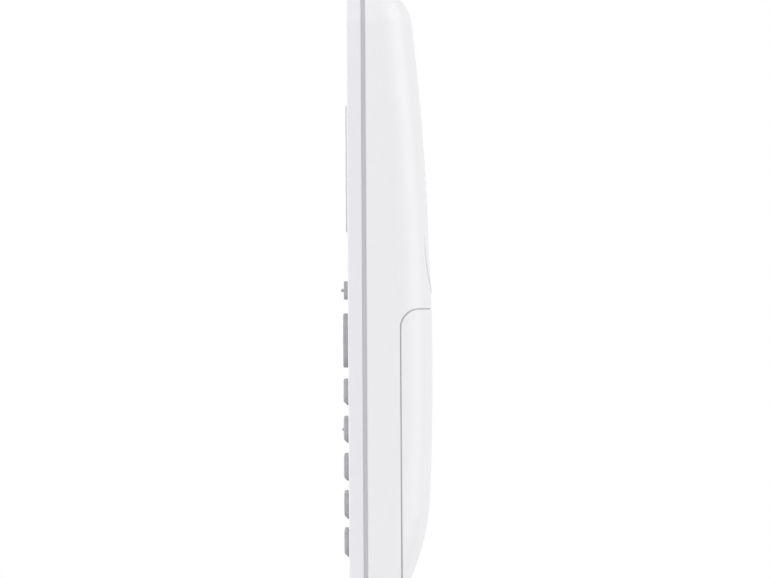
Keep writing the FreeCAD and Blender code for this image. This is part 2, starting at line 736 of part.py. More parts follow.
def rear_shell():
    """Deep back half with finger scoop, cover seat, battery bay, rails, bosses and speaker seat."""
    body = sub_part("rear_shell")
    form = handset_form(body, "rear_front")
    chamfer(body, "rear_edge", form, edges_where(form, at_depth(size("rear_front"))), "rear_edge_chamfer")
    scoop = side_sketch(body, "finger_scoop_profile")
    scoop_profile(scoop)
    crown_groove(body, "finger_scoop", scoop)
    tongue = front_sketch(body, "tongue_plan", "tongue_front + tongue_gap")
    plan_outline(tongue, "groove_depth")
    pad(body, "tongue", tongue, "groove_width + tongue_height")
    cut_by(body, "rear_hollow", rear_cavity())
    zone = side_sketch(body, "cover_zone")
    behind_seam(zone, "cover_seam_depth", "cover_top", "cover_corner_radius")
    pocket(body, "cover_seat", zone, "2 * body_width", middle=True)

    bay = front_sketch(body, "bay_block_plan", "bay_floor_depth - bay_floor_wall")
    rounded_rectangle(bay, "0", "bay_foot + bay_length / 2", "bay_width + 2 * bay_wall",
                      "bay_length + 2 * bay_wall", "bay_wall")
    pad(body, "bay_block", bay, "cover_seam_depth - bay_floor_depth + bay_floor_wall - shelf_wall / 2")
    room = front_sketch(body, "bay_room_plan", "cover_seam_depth + cover_corner_radius")
    rectangle(room, "-bay_width / 2", "bay_width / 2", "bay_foot", "bay_foot + bay_length")
    pocket(body, "bay_room", room, "cover_seam_depth + cover_corner_radius - bay_floor_depth", back=False)

    for side, word in SIDES:
        rail = level_sketch(body, "rail_section_" + word, "rail_foot")
        inside, outside, lip = "rail_place - rail_wall", "rail_place", "rail_place + rail_lip"
        base, head = "cover_seam_depth - shelf_wall / 2", "cover_seam_depth + rail_height"
        neck = head + " - rail_wall"
        corners = [(inside, base), (outside, base), (outside, neck), (lip, neck), (lip, head), (inside, head)]
        polygon(rail, [("%d * (%s)" % (side, across), depth) for across, depth in corners])
        pad(body, "rail_" + word, rail, "rail_head - rail_foot", back=False)

    for side, word in SIDES:
        name = "tongue_slot_" + word
        slot = side_sketch(body, name + "_section", TONGUE_PLACE % side)
        front, back = "cover_tongue_back - cover_tongue_wall - cover_gap", "cover_tongue_back + cover_gap"
        rectangle(slot, front, back, "cover_top - 1", "cover_top + cover_tongue_reach + cover_gap")
        pocket(body, name, slot, "cover_tongue_width + 2 * cover_gap", middle=True)

    boss = front_sketch(body, "rear_boss_plan", "board_back")
    for side in (-1, 1):
        circle(boss, "%d * screw_place" % side, "screw_up", "screw_sink_radius + boss_wall")
    pad(body, "rear_bosses", boss, "cover_seam_depth - shelf_wall / 2 - board_back")
    bore = front_sketch(body, "rear_bore_plan", "board_back")
    for side in (-1, 1):
        circle(bore, "%d * screw_place" % side, "screw_up", "screw_hole")
    pocket(body, "rear_bores", bore, "cover_seam_depth - board_back")
    sink = front_sketch(body, "screw_sink_plan", "cover_seam_depth")
    for side in (-1, 1):
        circle(sink, "%d * screw_place" % side, "screw_up", "screw_sink_radius")
    pocket(body, "screw_sinks", sink, "cover_seam_depth - screw_seat", back=False)

    seat = front_sketch(body, "loudspeaker_seat_plan", "loudspeaker_seat")
    circle(seat, "0", "loudspeaker_up", "loudspeaker_collar")
    circle(seat, "0", "loudspeaker_up", "loudspeaker_diameter / 2 - 2")
    pad(body, "loudspeaker_ledge", seat, "wall / 2")
    collar = front_sketch(body, "loudspeaker_collar_plan", "loudspeaker_seat - loudspeaker_wall")
    circle(collar, "0", "loudspeaker_up", "loudspeaker_collar")
    circle(collar, "0", "loudspeaker_up", "loudspeaker_diameter / 2 + key_gap")
    pad(body, "loudspeaker_collar", collar, "loudspeaker_wall + wall / 4")
    grille = front_sketch(body, "grille_plan", "loudspeaker_seat")
    for row in (-2, -1, 0, 1, 2):
        length = "2 * sqrt((grille_diameter / 2)^2 - (%d * grille_slot_pitch)^2)" % row
        rounded_rectangle(grille, "0", "loudspeaker_up + %d * grille_slot_pitch" % row, length,
                          "grille_slot_width", "grille_slot_width / 2.02")
    pocket(body, "grille", grille, "body_depth")

    mouth = front_sketch(body, "charge_mouth_plan", "rear_front + charge_contact_gap / 2")
    for side in (-1, 1):
        place = "%d * charge_contact_place" % side
        rectangle(mouth, place + " - charge_contact_width / 2 - screw_gap",
                  place + " + charge_contact_width / 2 + screw_gap", "-1", "wall + 1")
    pocket(body, "charge_mouths", mouth, "charge_contact_wall + 2 * screw_gap")
    return body


def scoop_profile(sketch):
    """Shallow hollow arc just above the battery cover, on a flatter crown than the back's."""
    foot = V(size(back_at("scoop_foot")), size("scoop_foot"), 0)
    head = V(size(back_at("scoop_head")), size("scoop_head"), 0)
    far = "body_depth + %d" % WASTE_MARGIN
    radius = size("scoop_radius")
    chord = head - foot
    out = V(chord.y, -chord.x, 0).normalize()
    centre = (foot + head) / 2 + out * math.sqrt(radius ** 2 - (chord.Length / 2) ** 2)
    start = math.atan2(head.y - centre.y, head.x - centre.x) % (2 * math.pi)
    end = math.atan2(foot.y - centre.y, foot.x - centre.x) % (2 * math.pi)
    sketch.addGeometry([
        Part.ArcOfCircle(Part.Circle(centre, V(0, 0, 1), radius), start, end),
        Part.LineSegment(foot, V(size(far), foot.y, 0)),
        Part.LineSegment(V(size(far), foot.y, 0), V(size(far), head.y, 0)),
        Part.LineSegment(V(size(far), head.y, 0), head),
    ], False)
    sketch.addConstraint([Sketcher.Constraint("Coincident", n, 2, (n + 1) % 4, 1) for n in range(4)])
    hold(sketch, "Radius", (0,), "scoop_radius")
    hold_point(sketch, (1, 1), back_at("scoop_foot"), "scoop_foot")
    hold_point(sketch, (1, 2), far, "scoop_foot")
    hold_point(sketch, (2, 2), far, "scoop_head")
    hold_point(sketch, (3, 2), back_at("scoop_head"), "scoop_head")
    crown_axis(sketch, "body_depth - scoop_crown_radius")


# Battery cover

def battery_cover():
    """Sliding cover: the back's own form behind the seam, with hooks and top tongues."""
    body = sub_part("battery_cover")
    handset_form(body, "rear_front")
    zone = side_sketch(body, "cover_part_zone")
    before_seam(zone, "cover_seam_depth + cover_gap", "cover_top - cover_gap",
                "cover_corner_radius - cover_gap")
    pocket(body, "cover_part", zone, "2 * body_width", middle=True)
    inner = new_body("cover_hollow")
    handset_form(inner, "rear_front", "cover_wall")
    cut_by(body, "cover_inside", inner)

    lip = "rail_place + rail_lip"
    low = "cover_seam_depth + rail_height - rail_wall - hook_gap - rail_wall"
    high = "body_depth - (%s)^2 / (2 * crown_radius) - cover_wall" % lip
    for row, height in (("low", "rail_foot + hook_end_space"),
                        ("high", "rail_head - hook_end_space - hook_length")):
        for side, word in SIDES:
            name = "hook_%s_%s" % (row, word)
            section = level_sketch(body, name + "_section", height)
            inside, outside = "rail_place + hook_gap", lip + " + hook_gap"
            corners = [(inside, low), (outside + " + rail_wall", low), (outside + " + rail_wall", high),
                       (outside, high), (outside, low + " + rail_wall"), (inside, low + " + rail_wall")]
            polygon(section, [("%d * (%s)" % (side, across), depth) for across, depth in corners])
            pad(body, name, section, "hook_length", back=False)
    for side, word in SIDES:
        name = "top_tongue_" + word
        section = side_sketch(body, name + "_section", TONGUE_PLACE % side)
        front, inside = "cover_tongue_back - cover_tongue_wall", "cover_tongue_skin - cover_wall / 2"
        low, high = "cover_top - cover_tongue_width", "cover_top + cover_tongue_reach"
        step = "cover_top - cover_gap - cover_wall / 2"
        polygon(section, [(front, low), (inside, low), (inside, step), ("cover_tongue_back", step),
                          ("cover_tongue_back", high), (front, high)])
        pad(body, name, section, "cover_tongue_width", middle=True)
    return body


# Keys

def key_cap(label, across, up, outline, rise, bevel=None, nub=None):
    """Key with its flange behind the shell; the outline function draws it about the key's own centre."""
    body = sub_part(label, across, up)
    plan = front_sketch(body, label + "_plan", "-(%s)" % rise)
    outline(plan, "0")
    cap = pad(body, label + "_cap", plan, "%s + flange_back" % rise)
    if bevel:
        edge = side_sketch(body, label + "_bevel_section")
        front, foot = "-%s - 1" % rise, "-key_length / 2 - 1"
        polygon(edge, [(front, foot), (front, "%s + %s + 2" % (foot, bevel)),
                       ("%s + %s + 2" % (front, bevel), foot)])
        cap = pocket(body, label + "_bevel", edge, "2 * key_width", middle=True)
    chamfer(body, label + "_edge", cap, edges_where(cap, at_depth(-size(rise))), "key_edge")
    rim = front_sketch(body, label + "_flange_plan", "flange_front")
    outline(rim, "key_flange")
    pad(body, label + "_flange", rim, "key_flange_wall")
    if nub:
        point = front_sketch(body, label + "_nub_plan", "-(%s) - %s" % (rise, nub))
        circle(point, "0", "0", "nub_radius")
        dot = pad(body, label + "_nub", point, nub + " + key_edge")
        tip = at_depth(-size("%s + %s" % (rise, nub)))
        chamfer(body, label + "_nub_edge", dot, edges_where(dot, tip), "nub_radius / 2")
    return body


def small_keys():
    names = [("function_key_left", "function_key_middle", "function_key_right"),
             ("key_star", "key_0", "key_hash"), ("key_7", "key_8", "key_9"),
             ("key_4", "key_5", "key_6"), ("key_1", "key_2", "key_3")]
    for row, trio in enumerate(names):
        for column, label in zip((-1, 0, 1), trio):
            key_cap(label, "%d * column_pitch" % column, "first_row + %d * row_pitch" % row,
                    lambda sketch, grow: small_key_outline(sketch, "0", "0", grow), "key_rise", "key_bevel",
                    "nub_rise" if label == "key_5" else None)


def soft_keys():
    for column, label in zip((-1, 0, 1), ("soft_key_left", "soft_key_middle", "soft_key_right")):
        key_cap(label, "%d * column_pitch" % column, "soft_key_up",
                lambda sketch, grow: soft_key_outline(sketch, "0", "0", grow), "soft_key_rise",
                nub=None if column else "soft_nub_rise")


def call_keys():
    """Talk and off keys: each is hollowed on the side of the navigation ring."""
    for side, label in ((-1, "talk_key"), (1, "off_key")):
        body = key_cap(label, "%d * call_key_across" % side, "call_up",
                       lambda sketch, grow: call_key_outline(sketch, "0", "0", grow), "key_rise")
        hollow = front_sketch(body, label + "_hollow_plan", "-2 * key_rise")
        circle(hollow, "%d * call_key_across" % -side, "0", "call_key_hollow")
        pocket(body, label + "_hollow", hollow, "2 * key_rise + 2 * flange_back")


def ring_key():
    body = sub_part("navigation_ring", "0", "call_up")
    plan = front_sketch(body, "ring_plan", "-key_rise")
    circle(plan, "0", "0", "ring_diameter / 2")
    circle(plan, "0", "0", "ring_hole / 2")
    cap = pad(body, "ring_cap", plan, "key_rise + flange_back")
    chamfer(body, "ring_edge", cap, edges_where(cap, at_depth(-size("key_rise"))), "2 * key_edge")
    rim = front_sketch(body, "ring_flange_plan", "flange_front")
    circle(rim, "0", "0", "ring_diameter / 2 + key_flange")
    circle(rim, "0", "0", "ring_diameter / 2 - key_flange")
    pad(body, "ring_flange", rim, "key_flange_wall")
    room = side_sketch(body, "ring_room_section")
    polygon(room, [("0", "0"), ("0", "ring_hole / 2"), ("flange_back + key_gap", "ring_room_diameter / 2"),
                   ("flange_back + key_gap", "0")])
    cone = body.newObject("PartDesign::Groove", "ring_room")
    cone.Profile = room
    cone.ReferenceAxis = (room, ["H_Axis"])
    cone.Angle = 360


def select_key():
    body = sub_part("select_key", "0", "call_up")
    plan = front_sketch(body, "select_plan", "-select_key_rise")
    circle(plan, "0", "0", "select_key_diameter / 2")
    cap = pad(body, "select_cap", plan, "select_key_rise + flange_back")
    chamfer(body, "select_edge", cap, edges_where(cap, at_depth(-size("select_key_rise"))), "2 * key_edge")
    rim = front_sketch(body, "select_flange_plan", "flange_front + 2 * key_seat")
    circle(rim, "0", "0", "select_key_diameter / 2 + key_flange")
    pad(body, "select_flange", rim, "key_flange_wall - 2 * key_seat")


# What lies behind the keys

def key_field(sketch):
    """Rectangle that holds all the keys' flanges."""
    rounded_rectangle(sketch, "0", "(field_foot + field_head) / 2", "field_width",
                      "field_head - field_foot", "field_corner_radius")


def under_keys(body, name, depth, length, diameter):
    """A round stud under every key."""
    rows = front_sketch(body, name + "_rows_plan", depth)
    in_columns(rows, lambda sketch, across: circle(sketch, across, "first_row", diameter))
    first = pad(body, name + "_row", rows, length)
    linear_pattern(body, name + "_rows", first, rows, "V_Axis", "%d * row_pitch" % (ROWS - 1), ROWS)
    upper = front_sketch(body, name + "_upper_plan", depth)
    in_columns(upper, lambda sketch, across: circle(sketch, across, "soft_key_up", diameter))
    for side in (-1, 0, 1):
        circle(upper, "%d * call_key_across" % side, "call_up", diameter)
    pad(body, name + "_upper", upper, length)


def keypad_mat():
    body = sub_part("keypad_mat")
    plan = front_sketch(body, "mat_plan", "mat_front")
    key_field(plan)
    pad(body, "mat_sheet", plan, "mat_wall")
    under_keys(body, "plunger", "mat_back", "plunger_length", "plunger_diameter / 2")


def dome_sheet():
    body = sub_part("dome_sheet")
    plan = front_sketch(body, "dome_sheet_plan", "dome_front")
    key_field(plan)
    pad(body, "dome_film", plan, "dome_sheet_wall")
    under_keys(body, "dome", "dome_front - dome_rise", "dome_rise + dome_sheet_wall / 2",
               "dome_diameter / 2")


def main_board():
    body = sub_part("main_board")
    plan = front_sketch(body, "board_plan", "board_depth")
    plan_outline(plan, "wall + board_gap")
    pad(body, "board", plan, "board_wall")
    holes = front_sketch(body, "board_holes_plan", "board_depth")
    for side in (-1, 1):
        circle(holes, "%d * screw_place" % side, "screw_up", "screw_hole")
    pocket(body, "board_holes", holes, "board_wall")


def rf_shield():
    """Thin can that is open towards the board."""
    body = sub_part("rf_shield")
    up = "body_length - shield_drop"
    plan = front_sketch(body, "shield_plan", "board_back")
    rounded_rectangle(plan, "0", up, "shield_width", "shield_length", "shield_corner_radius")
    pad(body, "shield_can", plan, "shield_height")
    room = front_sketch(body, "shield_room_plan", "board_back")
    rounded_rectangle(room, "0", up, "shield_width - 2 * shield_wall", "shield_length - 2 * shield_wall",
                      "shield_corner_radius - shield_wall")
    pocket(body, "shield_room", room, "shield_height - shield_wall")


def antenna():
    """Bent sheet with a foot on the board and two slots in its plate."""
    body = sub_part("antenna")
    foot, back = "body_length - antenna_drop - antenna_length / 2", "board_back + antenna_height"
    head, bend, front = foot + " + antenna_length", foot + " + antenna_wall", back + " - antenna_wall"
    section = side_sketch(body, "antenna_section")
    polygon(section, [("board_back", foot), (back, foot), (back, head), (front, head), (front, bend),
                      ("board_back", bend)])
    pad(body, "antenna_sheet", section, "antenna_width", middle=True)
    slots = front_sketch(body, "antenna_slots_plan", back)
    for side in (-1, 1):
        middle = "%d * antenna_width / 4" % side
        rectangle(slots, middle + " - antenna_slot_width / 2", middle + " + antenna_slot_width / 2",
                  foot + " + 2 * antenna_wall", head + " + 1")
    pocket(body, "antenna_slots", slots, "antenna_wall", back=False)


# Display

def display_window():
    body = sub_part("display_window")
    plan = front_sketch(body, "window_plan", "-window_rise")
    rounded_rectangle(plan, "0", "window_up", "window_width", "window_length", "window_corner_radius")
    pane = pad(body, "window_pane", plan, "window_wall")
    chamfer(body, "window_edge", pane, edges_where(pane, at_depth(-size("window_rise"))), "window_rise / 2")


def display_gasket():
    body = sub_part("display_gasket")
    plan = front_sketch(body, "gasket_plan", "face_wall")
    rounded_rectangle(plan, "0", "window_up", "display_width", "display_length", "display_corner_radius")
    rounded_rectangle(plan, "0", "window_up", "window_width - 2 * window_ledge",
                      "window_length - 2 * window_ledge", "window_corner_radius / 2")
    pad(body, "gasket_frame", plan, "gasket_wall")


def display_holder():
    body = sub_part("display_holder")
    plan = front_sketch(body, "holder_plan", "face_wall + gasket_wall")
    rounded_rectangle(plan, "0", "window_up", "display_width", "display_length", "display_corner_radius")
    pad(body, "holder_block", plan, "board_depth - face_wall - gasket_wall")
    room = front_sketch(body, "holder_room_plan", "face_wall + gasket_wall")
    rectangle(room, "-display_width / 2 + wall / 2", "display_width / 2 - wall / 2",
              "window_up - display_length / 2 + wall / 2", "window_up + display_length / 2 - wall / 2")
    pocket(body, "holder_room", room, "board_depth - face_wall - 2 * gasket_wall - shield_wall")


def display_panel():
    body = sub_part("display_panel")
    plan = front_sketch(body, "panel_plan", "face_wall + gasket_wall")
    edge = "wall / 2 + key_gap"
    rectangle(plan, "-display_width / 2 + " + edge, "display_width / 2 - (%s)" % edge,
              "window_up - display_length / 2 + " + edge, "window_up + display_length / 2 - (%s)" % edge)
    pad(body, "panel", plan, "board_depth - face_wall - 2 * gasket_wall - shield_wall")


# Round parts: the section is drawn with the depth across and the radius up, and turned about the depth axis

def turned(label, up, sections):
    """Piece turned about its own axis along Y from one or more closed sections."""
    body = sub_part(label, "0", up)
    for number, corners in enumerate(sections):
        section = side_sketch(body, "%s_section_%d" % (label, number))
        polygon(section, corners)
        feature = body.newObject("PartDesign::Revolution", "%s_turned_%d" % (label, number))
        feature.Profile = section
        feature.ReferenceAxis = (section, ["H_Axis"])
        feature.Angle = 360
    return body


def ring_section(front, back, inner, outer):
    return [(front, inner), (back, inner), (back, outer), (front, outer)]


def sound_parts():
    radius = "earpiece_diameter / 2"
    mesh_back = "face_wall + mesh_wall"
    seal_back = mesh_back + " + gasket_wall"
    turned("earpiece_mesh", "earpiece_up", [ring_section("face_wall", mesh_back, "0", radius + " - 1")])
    turned("earpiece_gasket", "earpiece_up", [ring_section(mesh_back, seal_back, radius + " - 2", radius)])
    turned("earpiece_receiver", "earpiece_up", [[
        (seal_back, "0"), ("board_depth - key_seat", "0"), ("board_depth - key_seat", radius + " - 1"),
        (seal_back + " + 1", radius + " - 1"), (seal_back + " + 1", radius), (seal_back, radius)]])

    radius = "loudspeaker_diameter / 2"
    face = "loudspeaker_seat - gasket_wall"
    back = face + " - loudspeaker_wall"
    turned("loudspeaker_gasket", "loudspeaker_up",
           [ring_section(face, "loudspeaker_seat", radius + " - 2", radius)])
    rim, cone, magnet = radius + " - 1.5", radius + " - 3", "loudspeaker_diameter * 0.34"
    turned("loudspeaker", "loudspeaker_up", [[
        (back, "0"), (face + " - 1.2", "0"), (face + " - 0.3", cone), (face + " - 0.3", rim),
        (face, rim), (face, radius), (face + " - 0.8", radius), (face + " - 2", rim),
        (face + " - 2", magnet), (back, magnet)]])

    radius = "microphone_diameter / 2"
    turned("microphone_boot", "microphone_up", [[
        ("face_wall", "microphone_hole / 2"), ("face_wall + boot_wall", "microphone_hole / 2"),
        ("face_wall + boot_wall", radius), ("board_depth - key_seat", radius),
        ("board_depth - key_seat", radius + " + boot_wall"), ("face_wall", radius + " + boot_wall")]])
    turned("microphone", "microphone_up", [[
        ("face_wall + boot_wall", "0"), ("board_depth", "0"), ("board_depth", radius + " - key_seat"),
        ("face_wall + boot_wall", radius + " - key_seat")]])


# Battery bay

def battery_cells():
    """Two cells side by side, one turned over, each a can with its cap."""
    low = "bay_foot + contact_wall + key_seat"
    high = "bay_foot + bay_length - contact_wall - key_seat"
    depth = "bay_floor_depth + cell_gap + cell_diameter / 2"
    cap, radius = "cell_diameter * 0.27", "cell_diameter / 2"
    for side, label, foot, head, way in ((-1, "battery_cell_left", high + " - cell_length", high, 1),
                                         (1, "battery_cell_right", low, low + " + cell_length", -1)):
        body = sub_part(label, "%d * cell_spacing / 2" % side)
        tip, base = (head, foot) if way > 0 else (foot, head)
        shoulder = "%s - %d" % (tip, way)
        section = side_sketch(body, label + "_section")
        polygon(section, [(depth, base), (depth + " + " + radius, base), (depth + " + " + radius, shoulder),
                          (depth + " + " + cap, shoulder), (depth + " + " + cap, tip), (depth, tip)])
        ends = V(size(depth), 0, 0), V(size(depth), size("bay_foot"), 0)
        line = section.addGeometry(Part.LineSegment(*ends), True)
        hold_point(section, (line, 1), depth, "0")
        hold_point(section, (line, 2), depth, "bay_foot")
        feature = body.newObject("PartDesign::Revolution", label + "_turned")
        feature.Profile = section
        feature.ReferenceAxis = (section, ["Axis0"])
        feature.Angle = 360


def bay_contacts():
    """Bent strips: a bowed spring at each cell's base and a flat plate at each cap."""
    middle = "bay_floor_depth + cell_gap + cell_diameter / 2"
    front, back = "%s - contact_length / 2" % middle, "%s + contact_length / 2" % middle
    reach = "bay_length - cell_length - 3 * contact_wall - 2 * key_seat"
    ends = ("bay_foot", "bay_foot + bay_length")
    springs = sub_part("battery_springs")
    plates = sub_part("battery_plates")
    for (side, word), wall, other in zip(SIDES, ends, reversed(ends)):
        way = -side
        strip = side_sketch(springs, "spring_section_" + word, "%d * cell_spacing / 2" % side)
        base = "%s + %d * contact_wall" % (wall, way)
        top = "%s + %d * (%s)" % (base, way, reach)
        thick = "%s + %d * contact_wall" % (top, way)
        polygon(strip, [(front, wall), (back, wall), (back, base), (front + " + 1", base),
                        (middle + " + 0.8", top), (back, "(%s + %s) / 2" % (base, top)),
                        (back, "(%s + %s) / 2 + %d * contact_wall" % (base, top, way)),
                        (middle + " + 0.8", thick), (middle + " - 0.8", thick), (front, base)])
        pad(springs, "spring_" + word, strip, "contact_width", middle=True)
        plate = side_sketch(plates, "plate_section_" + word, "%d * cell_spacing / 2" % side)
        low, high = (other + " - contact_wall", other) if way > 0 else (other, other + " + contact_wall")
        rectangle(plate, front, back, low, high)
        pad(plates, "plate_" + word, plate, "contact_width", middle=True)


def charge_contacts():
    body = sub_part("charge_contacts")
    front = "rear_front + charge_contact_gap / 2 + screw_gap"
    back = front + " + charge_contact_wall"
    for side, word in SIDES:
        section = side_sketch(body, "charge_section_" + word, "%d * charge_contact_place" % side)
        low, shoulder = "screw_gap", "wall + board_gap - screw_gap"
        polygon(section, [(front, low), (back, low), (back, "wall + board_gap + 3"),
                          ("board_back + key_seat", "wall + board_gap + 3"),
                          ("board_back + key_seat", shoulder), (front, shoulder)])
        pad(body, "charge_" + word, section, "charge_contact_width", middle=True)


def case_screws():
    """Two screws from the shelf under the cover through the board into the front shell."""
    body = sub_part("case_screws")
    for side, word in SIDES:
        head = front_sketch(body, "screw_head_plan_" + word, "screw_seat")
        circle(head, "%d * screw_place" % side, "screw_up", "screw_head_diameter / 2")
        pad(body, "screw_head_" + word, head, "screw_head_wall")
        shank = front_sketch(body, "screw_shank_plan_" + word, "face_wall + 2 * screw_gap")
        circle(shank, "%d * screw_place" % side, "screw_up", "screw_diameter / 2 - key_seat")
        pad(body, "screw_shank_" + word, shank,
            "screw_seat + screw_head_wall / 2 - face_wall - 2 * screw_gap")


front_shell()
rear_shell()
battery_cover()
small_keys()
soft_keys()
call_keys()
ring_key()
select_key()
keypad_mat()
dome_sheet()
main_board()
rf_shield()
antenna()
display_window()
display_gasket()
display_holder()
display_panel()
sound_parts()
battery_cells()
bay_contacts()
charge_contacts()
case_screws()
doc.recompute()

os.makedirs("parts", exist_ok=True)
for item in doc.Objects:
    if "Invalid" in item.State or "Error" in item.State:
        raise RuntimeError("%s: %s" % (item.Label, item.State))
for body in SUB_PARTS:
    shape = body.Shape
    if shape.isNull() or not shape.isValid():
        raise RuntimeError("no valid solid in " + body.Label)
    shape.exportStep("parts/%s.step" % body.Label)
    print(body.Label, len(shape.Solids), round(shape.Volume, 2))
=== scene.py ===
import json
import math

import bmesh
import bpy
from mathutils import Matrix, Vector
from mathutils.bvhtree import BVHTree

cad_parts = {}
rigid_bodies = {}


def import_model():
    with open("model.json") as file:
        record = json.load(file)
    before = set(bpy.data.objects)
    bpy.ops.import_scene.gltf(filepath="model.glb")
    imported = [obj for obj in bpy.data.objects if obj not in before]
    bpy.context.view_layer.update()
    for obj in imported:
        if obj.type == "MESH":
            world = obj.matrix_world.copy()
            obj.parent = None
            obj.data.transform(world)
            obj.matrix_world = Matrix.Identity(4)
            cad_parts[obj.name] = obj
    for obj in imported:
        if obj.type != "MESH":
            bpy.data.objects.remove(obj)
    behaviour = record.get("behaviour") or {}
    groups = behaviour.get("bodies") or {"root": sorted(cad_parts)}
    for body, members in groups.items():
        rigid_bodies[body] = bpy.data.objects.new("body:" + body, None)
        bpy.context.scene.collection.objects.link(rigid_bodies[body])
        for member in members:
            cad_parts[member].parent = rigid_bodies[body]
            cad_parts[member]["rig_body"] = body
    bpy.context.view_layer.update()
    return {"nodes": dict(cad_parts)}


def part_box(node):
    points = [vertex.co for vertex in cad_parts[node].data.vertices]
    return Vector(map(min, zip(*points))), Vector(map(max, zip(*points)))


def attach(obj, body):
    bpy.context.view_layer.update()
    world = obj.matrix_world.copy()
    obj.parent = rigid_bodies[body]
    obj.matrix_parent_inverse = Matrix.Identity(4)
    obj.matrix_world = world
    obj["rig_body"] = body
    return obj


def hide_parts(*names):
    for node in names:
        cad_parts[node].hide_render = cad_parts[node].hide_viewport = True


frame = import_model()

# Cordless phone handset, upright: keys face -Y, the back +Y, the foot stands at Z = 0.
# Metres. MM turns the drawing's millimetres into metres.
MM = 0.001

# Sizes of the solids that the pieces here are fitted to
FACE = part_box("front_shell")[0].y
FRONT_DEPTH = 3.6 * MM
GROOVE_WIDTH = 1.0 * MM
GROOVE_DEPTH = 0.9 * MM
SEAM_DEPTH = 13.0 * MM
SEAM_CORNER = 4.8 * MM
COVER_GAP = 0.35 * MM
TONGUE_REACH = 2.6 * MM
FLANGE = 0.6 * MM
KEY_CORNER = 2.4 * MM
KEY_BEVEL = 0.9 * MM
SOFT_KEY_CORNER = 1.2 * MM
KEY_EDGE = 0.2 * MM
KEY_NUB = 0.5 * MM
SOFT_NUB = 0.8 * MM
WINDOW_CORNER = 3.0 * MM

# Tolerances for picking points, edges and faces, and how finely round shapes are divided
WELD = 0.0002 * MM
CUT_REACH = 1e-7
SLIP = 0.02 * MM
SLIVER = 0.06 * MM
SHARP = math.radians(30)
SMOOTH_BELOW = math.radians(35)
FLAT = math.radians(0.05)
UPRIGHT_LEAN = 0.05
NORMAL_WEIGHT = 100
CORNER_STEPS = 8
FLANGE_STEPS = 4
BAR_STEPS = 3
EDGE_STEPS = 3
SMALL_EDGE_STEPS = 2
TURN_STEPS = 48
BAND_STEPS = 20
GRIP_STEPS = 60
FIGURE_STEPS = 6
NUB_STEPS_ROUND, NUB_STEPS_UP = 20, 12
CROWN_CUTS = 4

# Shells: the grey band of painted shade in the groove, the lip in the cover's seam, grey with
# painted shade, and the rim round the thumb grip, a little darker with painted shade
BAND_RECESS = 0.2 * MM
SEAM_RECESS = 0.3 * MM
OPENING_ROUNDING = 0.14 * MM
GRIP_HALF_WIDTH = 15.0 * MM
GRIP_HALF_HEIGHT = 11.4 * MM
GRIP_UP = 91.4 * MM
GRIP_ARC = math.radians(230)
GRIP_RIM_WIDTH = 0.5 * MM
GRIP_RIM_RISE = 0.15 * MM
GRIP_RIM_ROUNDING = 0.6 * GRIP_RIM_RISE
GRIP_RIM_FADE = 0.05

# Window and display
WINDOW_ROUNDING = 0.12 * MM
GROUND_EDGE = 0.35 * MM
MASK_MARGIN = 0.4 * MM
VIEW_BORDER = 4.0 * MM
VIEW_CORNER = 1.2 * MM
CLOCK_HEIGHT = 7.5 * MM
CLOCK_UP = -1.0 * MM
SIGNAL_ACROSS, SIGNAL_UP = -12.4 * MM, 9.0 * MM
SIGNAL_BARS = 4
SIGNAL_PITCH = 1.25 * MM
SIGNAL_LOWEST, SIGNAL_STEP = 0.9 * MM, 0.5 * MM
CHARGE_ACROSS, CHARGE_UP = 10.6 * MM, 10.2 * MM
CHARGE_PITCH = 1.2 * MM
CHARGE_OUTER = (4.6 * MM, 2.4 * MM, 0.3 * MM)
CHARGE_INNER = (4.0 * MM, 1.8 * MM, 0.15 * MM)

# Keys and what is printed on them
KEY_CROWN = 0.22 * MM
SOFT_KEY_CROWN = 0.1 * MM
CAP_ROUNDING = 0.18 * MM
CALL_KEY_FRONT = 1.1 * KEY_EDGE
CALL_KEY_ROUNDING = 0.4 * KEY_EDGE
NUB_RADIUS = 0.4 * MM
PRINT = 0.02 * MM
OVERPRINT = PRINT / 4
BAR_CORNER = 0.12 * MM
FIGURE_HEIGHT = 4.4 * MM
STAR_HEIGHT = 7.5 * MM
LEGEND_UP = 0.35 * MM
BESIDE_NUB = -2.4 * MM
RECEIVER_SIZE = 1.35
RECEIVER_SHIFT = 1.2 * MM
TALK_LEAN = -0.9
RING_RADIUS = 5.2 * MM

# Select key: its dish as shares of radius and depth, its edge as shares of KEY_EDGE
SELECT_DISH = 0.35 * MM
SELECT_HOLLOW = ((0, 1), (0.45, 0.72), (0.8, 0.15))
SELECT_ROUNDING = ((1.6, 0), (0.6, 0.15), (0.15, 0.6), (0, 1.4))

# Cells, battery bay and screws
CELL_CAP = 0.54
CELL_HOLLOW, CELL_HOLLOW_END = 0.55, 0.62
CELL_SHOULDER = 1.0 * MM
SHOULDER_DROP, SHOULDER_LEAN, SHOULDER_DIP = 0.5 * MM, 0.4 * MM, 0.1 * MM
CAP_FILLET = 0.15 * MM
CAN_BEND = 0.3 * MM
CAN_HOLLOW_DEPTH = 0.15 * MM
CAP_ROUND = 0.25 * MM
WRAP_THICKNESS = 0.12 * MM
WRAP_BEND, WRAP_LEAN = 0.35 * MM, 0.3 * MM
WRAP_UNDER = 0.6 * MM
WRAP_MOUTH = 0.7 * MM
WRAP_INNER_BEND = 0.4 * MM
STRIPE_LOW, STRIPE_HIGH = 9.0 * MM, 7.0 * MM
CELL_SIGN_INSET = 5.5 * MM
SIGN_LENGTH, SIGN_WIDTH = 2.6 * MM, 0.6 * MM
CELL_SIGN_DEPTH = 4 * PRINT
BAY_SIGN_DROP = 3.4 * MM
BAY_SIGN_RISE = 0.15 * MM
SCREW_HEAD = 1.4 * MM
SCREW_POINT = 0.2 * MM
SCREW_POINT_SHARE = 0.9
CROSS_DEPTH = 0.9 * MM
CROSS_TAPER = 0.75
CROSS_ARM, CROSS_REACH = 0.1, 0.7
